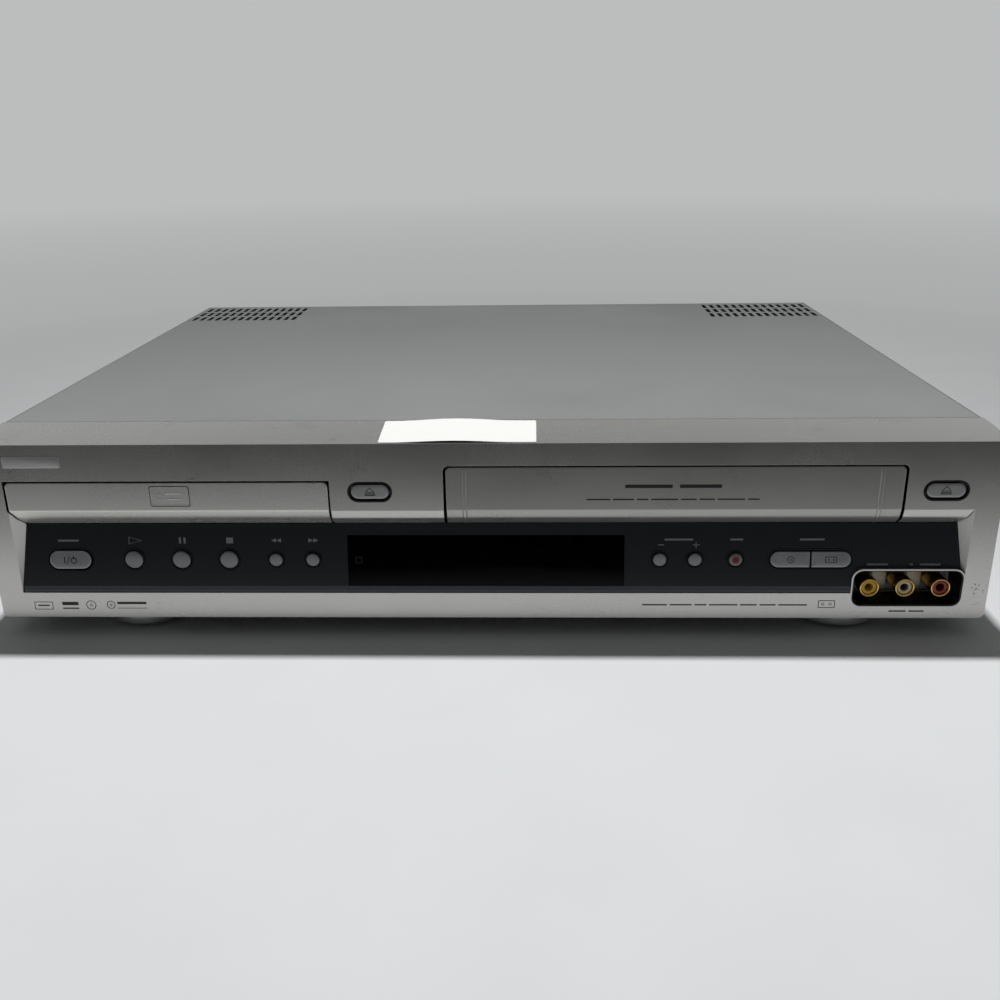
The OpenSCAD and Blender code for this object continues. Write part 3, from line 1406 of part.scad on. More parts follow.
// Rubber roller on the arm's pin.
module pinch_roller() color("#242425") placed() {
    z0 = deck_top + pinch_arm_gap + pinch_arm_t + 0.3;
    translate([pinch_pivot_x, pinch_pivot_y, 0]) rotate(pinch_arm_angle) translate([pinch_arm_l, 0, 0])
        ring_z(0, 0, z0, z0 + 16, pinch_roller_dia, spindle_pin + 0.1);
}

// A reel table: a disc, a hub with three splines and a bore for its spindle.
module reel_table(x) {
    translate([x, reel_y, deck_top + 0.4]) difference() {
        union() {
            cylinder(d = reel_dia, h = 2.5);
            cylinder(d = spindle_hub_dia - 4, h = 12);
            for (a = [0, 120, 240]) rotate(a) box(0, spindle_hub_dia / 2, -1, 1, 2, 12);
        }
        translate([0, 0, -1]) cylinder(d = spindle_pin + 0.1, h = 20);
    }
}

module supply_reel() color("#e0ddd4") placed() reel_table(tape_x - reel_spacing / 2);
module take_up_reel() color("#e0ddd4") placed() reel_table(tape_x + reel_spacing / 2);

// ---- Pieces ----

bottom_chassis();
top_cover();
front_bezel();
rear_panel();
case_screws();
feet();
control_panel();
display_window();
display_tube();
front_board();
jack_cup();
jack_shells();
yellow_jack_inserts();
white_jack_inserts();
red_jack_inserts();
circuit_boards();
power_parts();
cord_bush();
tuner();
rear_jack_blocks();
paper_label();
loader_frame();
disc_tray();
tray_door();
loader_motor();
loader_motor_pulley();
loader_belt();
loader_belt_gear();
loader_drive_gear();
clamp_bridge();
disc_clamper();
traverse();
turntable();
pickup_sled();
lead_screw();
tape_deck_plate();
holder_brackets();
holder_carriage();
cassette_holder();
cassette_door();
lower_drum();
head_drum();
capstan();
pinch_arm();
pinch_roller();
supply_reel();
take_up_reel();
power_button();
play_button();
pause_button();
stop_button();
rewind_button();
forward_button();
channel_down_button();
channel_up_button();
record_button();
disc_source_button();
tape_source_button();
disc_eject_button();
tape_eject_button();
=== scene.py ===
"""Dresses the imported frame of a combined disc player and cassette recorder.

Every place is worked out in millimetres from the middle of the front face's lower edge: x to the
right, y as depth behind the front face, z upwards. Meshes are in metres, in the frame's axes.
"""

from __future__ import annotations

import logging
import math
from collections.abc import Callable, Sequence
from dataclasses import dataclass, field, replace
from enum import Enum

import bmesh
import bpy
import numpy as np
from mathutils import Matrix, Vector

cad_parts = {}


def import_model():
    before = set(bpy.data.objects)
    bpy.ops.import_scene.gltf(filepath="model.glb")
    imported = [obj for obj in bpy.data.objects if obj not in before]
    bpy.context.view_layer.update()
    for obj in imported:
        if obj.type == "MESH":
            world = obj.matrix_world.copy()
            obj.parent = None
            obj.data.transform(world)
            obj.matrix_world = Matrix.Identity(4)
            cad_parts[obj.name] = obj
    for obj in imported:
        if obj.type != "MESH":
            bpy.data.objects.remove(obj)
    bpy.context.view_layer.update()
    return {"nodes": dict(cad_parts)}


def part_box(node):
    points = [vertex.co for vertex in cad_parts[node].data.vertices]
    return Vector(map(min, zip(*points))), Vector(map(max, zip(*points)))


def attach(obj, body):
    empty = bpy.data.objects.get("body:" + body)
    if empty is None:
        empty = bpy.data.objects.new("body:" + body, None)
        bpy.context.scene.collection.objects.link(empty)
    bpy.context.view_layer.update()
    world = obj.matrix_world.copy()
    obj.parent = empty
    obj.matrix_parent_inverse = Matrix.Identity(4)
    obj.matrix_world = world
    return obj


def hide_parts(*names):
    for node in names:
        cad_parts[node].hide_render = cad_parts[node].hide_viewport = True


LOG = logging.getLogger("deck")
MM = 0.001
BEVEL_ANGLE = 32.0
Array = np.ndarray
Outline = Callable[[float], Array]
Place = Callable[[Array], Array]
Pair = tuple[float, float]
Colour = tuple[int, int, int]
Levels = Sequence[Pair]


# ---- Where things are ----


@dataclass(frozen=True)
class Deck:
    """The case's own coordinates: its front face's depth and lower edge's height in the frame."""

    front_y: float
    base_z: float

    @classmethod
    def from_bezel(cls) -> Deck:
        """Reads both from the bezel's box."""
        low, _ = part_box("front_bezel")
        return cls(low.y, low.z)

    def to_frame(self, points: Array) -> Array:
        """Turns points in the case's millimetres into the frame's metres.

        Args:
            points: Points of x, depth and height, in the last axis.

        Returns:
            The same points in the frame's axes.
        """
        return points * MM + np.array([0.0, self.front_y, self.base_z])

    def span(self, node: str) -> tuple[Array, Array]:
        """Gives a CAD node's box in the case's millimetres.

        Args:
            node: The node's name.

        Returns:
            The lowest and the highest corner.
        """
        low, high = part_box(node)
        origin = np.array([0.0, self.front_y, self.base_z])
        return (np.array(low) - origin) / MM, (np.array(high) - origin) / MM


@dataclass(frozen=True)
class Recess:
    """The slanted control recess: its edges' heights, its depth and its half width.

    The brow over it bends back softly: brow is its first slope, as depth over height, and knee is
    how far below the recess's top it bends again, down to the floor's upper edge.
    """

    low: float = 12.0
    floor_top: float = 42.5
    top: float = 50.3
    depth: float = 5.5
    half_width: float = 204.3
    side_slant: float = 4.3
    brow: float = 0.32
    knee: float = 4.6
    soft_top: float = 0.14
    soft_knee: float = 0.5

    def brow_depth(self, z: Array) -> Array:
        """Gives the brow's depth at each height.

        Each bend adds its change of slope times a softplus of the drop below it.
        """
        drop = self.top - z
        reach = self.top - self.floor_top
        second = (self.depth - self.brow * reach) / (reach - self.knee)
        first_bend = self.soft_top * np.logaddexp(0.0, drop / self.soft_top)
        second_bend = self.soft_knee * np.logaddexp(0.0, (drop - self.knee) / self.soft_knee)
        return self.brow * first_bend + second * second_bend

    def y(self, z: float) -> float:
        """Gives the floor's depth at a height."""
        return self.depth * (z - self.low) / (self.floor_top - self.low)

    def on_floor(self, x: float, z: float, lift: float = 0.0) -> Place:
        """Makes a place on the recess's floor.

        The plane's own axes are the case's width, the way up the slanted floor, and the normal
        out of it; a shape's third coordinate is its height over the floor.

        Args:
            x: The place across the case.
            z: The place's height.
            lift: How far the shape's own zero lies over the floor.

        Returns:
            A function from flat points to the case's coordinates.
        """
        rise = np.array([0.0, self.depth, self.floor_top - self.low])
        rise /= np.linalg.norm(rise)
        out = np.array([0.0, -rise[2], rise[1]])
        origin = np.array([x, self.y(z), z]) + out * lift

        def place(points: Array) -> Array:
            """Lays flat points on the slanted floor."""
            along = points[..., :1] * [1, 0, 0] + points[..., 1:2] * rise
            return origin + along + points[..., 2:] * out

        return place


def facing_front(x: float, y: float, z: float) -> Place:
    """Makes a place on an upright face: width, height, and outwards to the front."""
    return lambda p: np.stack([x + p[..., 0], y - p[..., 2], z + p[..., 1]], axis=-1)


def facing_back(x: float, y: float, z: float) -> Place:
    """Makes a place on the rear panel: width, height, and outwards to the back."""
    return lambda p: np.stack([x - p[..., 0], y + p[..., 2], z + p[..., 1]], axis=-1)


def facing_down(x: float, y: float, z: float) -> Place:
    """Makes a place on an underside: width, depth, and outwards to the floor."""
    return lambda p: np.stack([x + p[..., 0], y - p[..., 1], z - p[..., 2]], axis=-1)


def across(x: float) -> Place:
    """Makes a place along the case's width: depth, height, and outwards to the right."""
    return lambda p: np.stack([x + p[..., 2], p[..., 0], p[..., 1]], axis=-1)


# ---- Outlines ----


def circle(diameter: float, count: int = 96) -> Outline:
    """A circle that shrinks by an inset: radius times cosine and sine of an even turn."""
    turn = np.linspace(0, 2 * math.pi, count, endpoint=False)
    return lambda inset: (diameter / 2 - inset) * np.stack([np.cos(turn), np.sin(turn)], axis=1)


def corners(
    sides: tuple[float, float, float, float], radii: tuple[float, ...], arc: int = 12
) -> Outline:
    """A rectangle whose four corners have their own radii, shrunk by an inset.

    Each corner is a quarter circle about a fixed centre, with its radius less the inset, so the
    sides move inwards by the inset.

    Args:
        sides: Left, right, lower and upper side.
        radii: Radius of the upper right, upper left, lower left and lower right corner.
        arc: Steps in each corner.

    Returns:
        The outline as a function of its inset.
    """
    turn = np.linspace(0, math.pi / 2, arc + 1)
    left, right, low, high = sides
    ends = [(right, high, -1, -1), (left, high, 1, -1), (left, low, 1, 1), (right, low, -1, 1)]

    def outline(inset: float) -> Array:
        """Gives the corners' arcs one after another."""
        arcs = []
        for k, (x, z, inward_x, inward_z) in enumerate(ends):
            bend = max(radii[k] - inset, 0.01)
            middle = np.array([x + inward_x * (inset + bend), z + inward_z * (inset + bend)])
            angle = turn + k * math.pi / 2
            arcs.append(middle + bend * np.stack([np.cos(angle), np.sin(angle)], axis=1))
        return np.concatenate(arcs)

    return outline


def round_rect(width: float, height: float, radius: float, arc: int = 12) -> Outline:
    """A rectangle with four equal round corners, about its middle."""
    return corners((-width / 2, width / 2, -height / 2, height / 2), (radius,) * 4, arc)


def stadium(width: float, height: float) -> Outline:
    """A slot's outline with half-round ends."""
    return round_rect(width, height, height / 2 - 0.001, 20)


def polygon(points: Sequence[Pair]) -> Outline:
    """An outline of straight edges, shrunk towards its own middle by an inset."""
    ends = np.array(points, float)
    middle = ends.mean(axis=0)
    reach = np.linalg.norm(ends - middle, axis=1).min()
    return lambda inset: middle + (ends - middle) * (1 - inset / reach)


# ---- Surfaces ----


@dataclass
class Shape:
    """A mesh in the making: arrays of points and their faces, in the case's millimetres."""

    deck: Deck
    points: list[Array] = field(default_factory=list)
    faces: list[list[int]] = field(default_factory=list)
    count: int = 0

    def add(self, points: Array, faces: Sequence[Sequence[int]]) -> Shape:
        """Adds points and faces whose indices start at zero."""
        self.points.append(points.reshape(-1, 3))
        self.faces += [[int(i) + self.count for i in face] for face in faces]
        self.count += len(self.points[-1])
        return self

    def loft(self, outline: Outline, levels: Levels, place: Place) -> Shape:
        """Adds a closed body: rings of an outline at (inset, height) levels, with both ends capped.

        Args:
            outline: The outline as a function of its inset.
            levels: Each ring's inset and height, in order along the surface.
            place: Where the shape lies.

        Returns:
            The shape itself.
        """
        return self._rings(place(stacked(outline, levels)), closed=False)

    def ring(self, outline: Outline, section: Levels, place: Place) -> Shape:
        """Adds a closed ring: an outline carried round a section of (inset, height) points."""
        return self._rings(place(stacked(outline, section)), closed=True)

    def _rings(self, rings: Array, closed: bool) -> Shape:
        """Joins rings of points by quads, around each ring and from ring to ring."""
        rows, columns = rings.shape[:2]
        near = np.arange(columns)
        far = np.roll(near, -1)
        pairs = [(k, (k + 1) % rows) for k in range(rows if closed else rows - 1)]
        corners_at = ((near, 0), (far, 0), (far, 1), (near, 1))
        sides = [
            np.stack([index + pair[which] * columns for index, which in corners_at], 1)
            for pair in pairs
        ]
        faces = list(np.concatenate(sides))
        if not closed:
            faces += [near[::-1], near + (rows - 1) * columns]
        return self.add(rings, faces)

    def sheet(self, front: Array, back: Array) -> Shape:
        """Adds a closed plate between two grids of points of the same size.

        The two grids are its faces, and quads along their borders are its edges.
        """
        rows, columns = front.shape[:2]
        index = np.arange(rows * columns).reshape(rows, columns)
        cells = [index[:-1, :-1], index[1:, :-1], index[1:, 1:], index[:-1, 1:]]
        quads = np.stack(cells, -1).reshape(-1, 4)
        border = np.concatenate([index[0], index[1:, -1], index[-1, -2::-1], index[-2:0:-1, 0]])
        shift = rows * columns
        ahead = np.roll(border, -1)
        rim = np.stack([border, ahead, ahead + shift, border + shift], 1)
        faces = list(quads) + list(quads[:, ::-1] + shift) + list(rim)
        return self.add(np.concatenate([front.reshape(-1, 3), back.reshape(-1, 3)]), faces)

    def build(self, name: str, smooth_angle: float = 40.0) -> bpy.types.Object:
        """Makes the object, with its faces turned outwards.

        Args:
            name: The piece's name.
            smooth_angle: Edges sharper than this stay sharp, in degrees.

        Returns:
            The new object, linked to the scene.
        """
        mesh = bpy.data.meshes.new(name)
        points = self.deck.to_frame(np.concatenate(self.points))
        mesh.from_pydata(points.tolist(), [], self.faces)
        clean(mesh, 2e-7, smooth_angle)
        return linked(name, mesh)


def stacked(outline: Outline, levels: Levels) -> Array:
    """Stacks rings of an outline, each shrunk by its level's inset and lifted to its height."""
    rings = [outline(inset) for inset, _ in levels]
    heights = [np.full((len(ring), 1), height) for ring, (_, height) in zip(rings, levels)]
    return np.stack([np.concatenate(pair, axis=1) for pair in zip(rings, heights)])


def clean(mesh: bpy.types.Mesh, merge: float, sharp_angle: float, flat_angle: float = 0.0) -> None:
    """Merges a mesh's doubles, shades its faces smooth and marks the edges that stay sharp.

    Args:
        mesh: The mesh.
        merge: Points closer than this become one, in metres.
        sharp_angle: Edges sharper than this stay sharp, in degrees.
        flat_angle: Faces that meet flatter than this are joined, in degrees. Without it the faces
            are turned outwards instead, which a CAD node's mesh doesn't need.
    """
    work = bmesh.new()
    work.from_mesh(mesh)
    bmesh.ops.remove_doubles(work, verts=work.verts, dist=merge)
    if flat_angle:
        bmesh.ops.dissolve_limit(
            work, angle_limit=math.radians(flat_angle), verts=work.verts, edges=work.edges,
            use_dissolve_boundaries=False,
        )
    else:
        bmesh.ops.recalc_face_normals(work, faces=work.faces)
    limit = math.radians(sharp_angle)
    for face in work.faces:
        face.smooth = True
    for edge in work.edges:
        edge.smooth = edge.calc_face_angle(0.0) < limit
    work.to_mesh(mesh)
    work.free()
    mesh.update()


def linked(name: str, data: bpy.types.ID) -> bpy.types.Object:
    """Makes an object of its data and links it to the scene."""
    made = bpy.data.objects.new(name, data)
    bpy.context.scene.collection.objects.link(made)
    return made


def softened_copy(
    node: bpy.types.Object, name: str, radius: float, segments: int = 2
) -> bpy.types.Object:
    """Copies a CAD node and rounds its edges.

    The copy is cleaned first, so that a Bevel modifier finds the real edges.

    Args:
        node: The CAD node's object.
        name: The piece's name.
        radius: The width of the rounded edges, in millimetres.
        segments: The bevel's segments.

    Returns:
        The new object.
    """
    mesh = node.data.copy()
    mesh.name = name
    mesh.materials.clear()
    clean(mesh, 2e-6, BEVEL_ANGLE, 0.6)
    piece = linked(name, mesh)
    bevel = piece.modifiers.new("soft_edges", "BEVEL")
    bevel.width = radius * MM
    bevel.segments = segments
    bevel.limit_method = "ANGLE"
    bevel.angle_limit = math.radians(BEVEL_ANGLE)
    bevel.use_clamp_overlap = True
    bevel.harden_normals = False
    shade = piece.modifiers.new("shading", "WEIGHTED_NORMAL")
    shade.keep_sharp = False
    return piece


# ---- Finishes ----


class Grain(Enum):
    """How a finish's fine relief runs: how often it changes across, back and up."""

    FINE = (1.0, 1.0, 1.0)
    ACROSS = (0.02, 1.0, 1.0)
    BACKWARDS = (1.0, 0.02, 1.0)


NOISE_SPREAD = 2.6


class Net:
    """A material's node tree, with short calls to add nodes and join them."""

    def __init__(self, owner: bpy.types.Material | bpy.types.World) -> None:
        """Empties the owner's node tree and keeps it."""
        owner.use_nodes = True
        self.tree = owner.node_tree
        self.tree.nodes.clear()

    def add(self, kind: str, sockets: dict | None = None, **settings: object) -> bpy.types.Node:
        """Adds a node.

        Args:
            kind: The node's type, without its usual first word.
            sockets: Values or other nodes' outputs for its inputs, by name or number.
            settings: The node's own settings.

        Returns:
            The new node.
        """
        node = self.tree.nodes.new("ShaderNode" + kind)
        for key, value in settings.items():
            setattr(node, key, value)
        for key, value in (sockets or {}).items():
            if isinstance(value, bpy.types.NodeSocket):
                self.tree.links.new(value, node.inputs[key])
            else:
                node.inputs[key].default_value = value
        return node

    def math(self, operation: str, *values: object, clamp: bool = False) -> bpy.types.NodeSocket:
        """Adds a Math node and gives its output."""
        sockets = dict(enumerate(values))
        return self.add("Math", sockets, operation=operation, use_clamp=clamp).outputs[0]

    def ramp(
        self, value: object, low: float, high: float, to_low: float = 0.0, to_high: float = 1.0
    ) -> bpy.types.NodeSocket:
        """Adds a Map Range node that clamps, and gives its output."""
        sockets = {0: value, 1: low, 2: high, 3: to_low, 4: to_high}
        return self.add("MapRange", sockets, clamp=True).outputs[0]

    def noise(
        self, place: bpy.types.NodeSocket, size_mm: float, detail: float = 2.0
    ) -> bpy.types.NodeSocket:
        """Adds a Noise Texture whose lumps are about a size, and gives its factor."""
        sockets = {"Vector": place, "Scale": 1.0 / (size_mm * MM), "Detail": detail}
        return self.add("TexNoise", sockets).outputs[0]

    def sway(
        self, noise: bpy.types.NodeSocket, share: float, middle: float
    ) -> bpy.types.NodeSocket:
        """Turns a noise into a value that leaves its middle by about a share to either side."""
        reach = NOISE_SPREAD * share
        return self.math("MULTIPLY_ADD", noise, reach, middle - reach / 2)

    def mix(self, share: object, first: object, second: object) -> bpy.types.NodeSocket:
        """Adds a colour mix and gives its output."""
        node = self.add("Mix", data_type="RGBA")
        pairs = ((node.inputs[0], share), (node.inputs[6], first), (node.inputs[7], second))
        for socket, value in pairs:
            if isinstance(value, bpy.types.NodeSocket):
                self.tree.links.new(value, socket)
            else:
                socket.default_value = value
        return node.outputs[2]


def linear(colour: Colour) -> tuple[float, float, float, float]:
    """Turns a screen colour of 0 to 255 into Blender's linear colour."""
    shares = [c / 255 for c in colour]
    parts = [((s + 0.055) / 1.055) ** 2.4 if s > 0.04 else s / 12.92 for s in shares]
    return (*parts, 1.0)


DUST_GREY = (172, 168, 160)
SCUFF_GREY = (34, 33, 32)
# Colour of the painted shade in narrow gaps.
GAP_SHADE_BLACK = (6, 6, 6)


@dataclass(frozen=True)
class Finish:
    """A surface finish: its colour and gloss, and the small marks of making and of use.

    Sizes are in millimetres. mottle and flake are shares by which the colour varies, coarse and
    fine; wear is how bright the edges are rubbed, dust how much grey settles in specks, the gap
    shade how dark the narrow gaps are painted, a painted shade, and scuff how dark the few small
    knocks are.
    """

    name: str
    colour: Colour
    metallic: float = 0.0
    roughness: float = 0.45
    coat: float = 0.0
    grain: Grain = Grain.FINE
    grain_size: float = 0.5
    relief: float = 0.008
    flake: float = 0.0
    mottle: float = 0.05
    mottle_size: float = 24.0
    wear: float = 0.0
    soft_edge: float = 0.0
    dust: float = 0.1
    dust_size: float = 1.1
    specular: float = 0.5
    # Painted shade in narrow gaps: how dark, and how far other surfaces reach.
    grime: float = 0.0
    grime_reach: float = 1.4
    scuff: float = 0.0
    second: Colour | None = None
    second_radius: float = 0.0

    def variant(self, name: str, colour: Colour, **changes: object) -> Finish:
        """Gives a finish like this one in another colour, with some changes."""
        return replace(self, name=name, colour=colour, **changes)

    def material(self, middle: Pair = (0.0, 0.0)) -> bpy.types.Material:
        """Makes the finish's material, or gives the one already made.

        The colour is varied by two noises, lightened along edges that a rounded normal finds,
        speckled with dust and knocks, and darkened in narrow gaps as painted shade; the roughness
        follows the same noises, and a fine noise is the relief.

        Args:
            middle: Place across and up of a second colour's round spot, in metres.

        Returns:
            The material.
        """
        ready = bpy.data.materials.get(self.name)
        if ready:
            return ready
        made = bpy.data.materials.new(self.name)
        net = Net(made)
        place = net.add("TexCoord").outputs["Object"]
        coarse = net.noise(place, self.mottle_size, 4.0)
        stretched = net.add("Mapping", {"Vector": place, "Scale": self.grain.value}).outputs[0]
        fine = net.noise(stretched, self.grain_size, 3.0)
        value = net.sway(coarse, self.mottle, 1.0)
        if self.flake:
            value = net.math("ADD", value, net.sway(fine, self.flake, 0.0))
        base = linear(self.colour)
        if self.second:
            base = self._spot(net, place, middle)
        colour = net.add("HueSaturation", {"Value": value, "Color": base}).outputs[0]
        normal = None
        if self.soft_edge:
            rounded = net.add("Bevel", {"Radius": self.soft_edge * MM}, samples=4).outputs[0]
            normal = rounded
            if self.wear:
                colour = self._rub(net, colour, rounded, fine)
        if self.dust:
            lumps = net.noise(place, self.dust_size, 1.0)
            specks = net.ramp(lumps, 0.70, 0.76, 0.0, self.dust)
            colour = net.mix(specks, colour, linear(DUST_GREY))
        if self.scuff:
            colour = self._scuff(net, place, colour)
        # Painted shade: the colour goes dark where other surfaces crowd in, in narrow gaps.
        if self.grime:
            colour = self._grime(net, colour)
        rough = net.math("MULTIPLY_ADD", coarse, 0.16, self.roughness - 0.08)
        rough = net.math("MULTIPLY_ADD", fine, 0.08, net.math("SUBTRACT", rough, 0.04), clamp=True)
        bump_sockets = {"Strength": 1.0, "Distance": self.relief * MM, "Height": fine}
        if normal:
            bump_sockets["Normal"] = normal
        bump = net.add("Bump", bump_sockets).outputs[0]
        shader = net.add("BsdfPrincipled", {
            "Base Color": colour, "Roughness": rough, "Normal": bump, "Metallic": self.metallic,
            "Coat Weight": self.coat, "Coat Roughness": 0.06, "Specular IOR Level": self.specular,
        })
        net.add("OutputMaterial", {"Surface": shader.outputs[0]})
        made.diffuse_color = linear(self.colour)
        return made

    def _rub(
        self, net: Net, colour: object, rounded: object, fine: object
    ) -> bpy.types.NodeSocket:
        """Lightens the colour where the rounded normal leaves the flat one, in grainy patches."""
        flat = net.add("NewGeometry").outputs["Normal"]
        product = net.add("VectorMath", {0: rounded, 1: flat}, operation="DOT_PRODUCT")
        agreement = product.outputs["Value"]
        edge = net.ramp(agreement, 0.985, 0.86)
        patchy = net.math("MULTIPLY", edge, net.ramp(fine, 0.35, 0.6, 0.35, 1.0))
        bright = tuple(min(255, int(c + (255 - c) * 0.55)) for c in self.colour)
        return net.mix(net.math("MULTIPLY", patchy, self.wear), colour, linear(bright))

    def _scuff(self, net: Net, place: object, colour: object) -> bpy.types.NodeSocket:
        """Darkens small specks where a coarse noise lets a fine one through, in a few clusters."""
        clusters = net.ramp(net.noise(place, 17.0, 2.0), 0.64, 0.70)
        specks = net.ramp(net.noise(place, 0.8, 2.0), 0.60, 0.66)
        share = net.math("MULTIPLY", net.math("MULTIPLY", clusters, specks), self.scuff)
        return net.mix(share, colour, linear(SCUFF_GREY))

    def _grime(self, net: Net, colour: object) -> bpy.types.NodeSocket:
        """Paints shade: darkens the colour where other surfaces crowd in closer than the reach."""
        reach = {"Distance": self.grime_reach * MM}
        openness = net.add("AmbientOcclusion", reach, samples=4).outputs["AO"]
        share = net.math("MULTIPLY", net.ramp(openness, 0.8, 0.35), self.grime)
        return net.mix(share, colour, linear(GAP_SHADE_BLACK))

    def _spot(self, net: Net, place: object, middle: Pair) -> bpy.types.NodeSocket:
        """Paints the second colour in a soft round spot about a middle in the front's plane."""
        shift = {"Vector": place, "Location": (-middle[0], 0.0, -middle[1]), "Scale": (1, 0, 1)}
        centre = net.add("Mapping", shift).outputs[0]
        distance = net.add("VectorMath", {0: centre}, operation="LENGTH").outputs["Value"]
        radius = self.second_radius * MM
        share = net.ramp(distance, radius * 0.8, radius * 1.2, 1.0, 0.0)
        return net.mix(share, linear(self.colour), linear(self.second))


SILVER_PAINT = Finish(
    "silver_paint", (193, 191, 188), metallic=0.82, roughness=0.28, flake=0.06, grain_size=0.22,
    relief=0.006, mottle=0.03, mottle_size=40, soft_edge=0.2, wear=0.3, dust=0.15, dust_size=1.0,
    grime=0.9,
)
BUTTON_PAINT = Finish(
    "button_paint", (156, 156, 159), metallic=0.75, roughness=0.38, flake=0.05, grain_size=0.2,
    relief=0.004, mottle=0.04, mottle_size=5, dust=0.08, dust_size=0.6, grime=0.8,
)
SMOKE = Finish(
    "smoke", (34, 38, 45), roughness=0.32, coat=0.15, grain_size=0.4, relief=0.002, mottle=0.06,
    dust=0.12, dust_size=0.8,
)
INK = Finish(
    "ink", (19, 19, 20), roughness=0.5, grain_size=0.15, relief=0.002, mottle=0.08, dust=0.0
)
INSERT = Finish(
    "insert", (200, 158, 30), roughness=0.4, grain_size=0.3, relief=0.004, mottle=0.08,
    mottle_size=3, grime=0.95, grime_reach=3.5,
)
STEEL = Finish(
    "steel", (176, 178, 178), metallic=0.95, roughness=0.34, relief=0.006, soft_edge=0.2, wear=0.2
)
POLISHED = Finish(
    "polished", (206, 207, 205), metallic=1.0, roughness=0.16, grain_size=0.2, relief=0.003
)
PLASTIC = Finish(
    "plastic", (40, 41, 45), grain_size=0.4, relief=0.01, soft_edge=0.2, wear=0.2
)
RUBBER = Finish(
    "rubber", (24, 24, 25), roughness=0.75, grain_size=0.3, relief=0.02, mottle=0.12
)


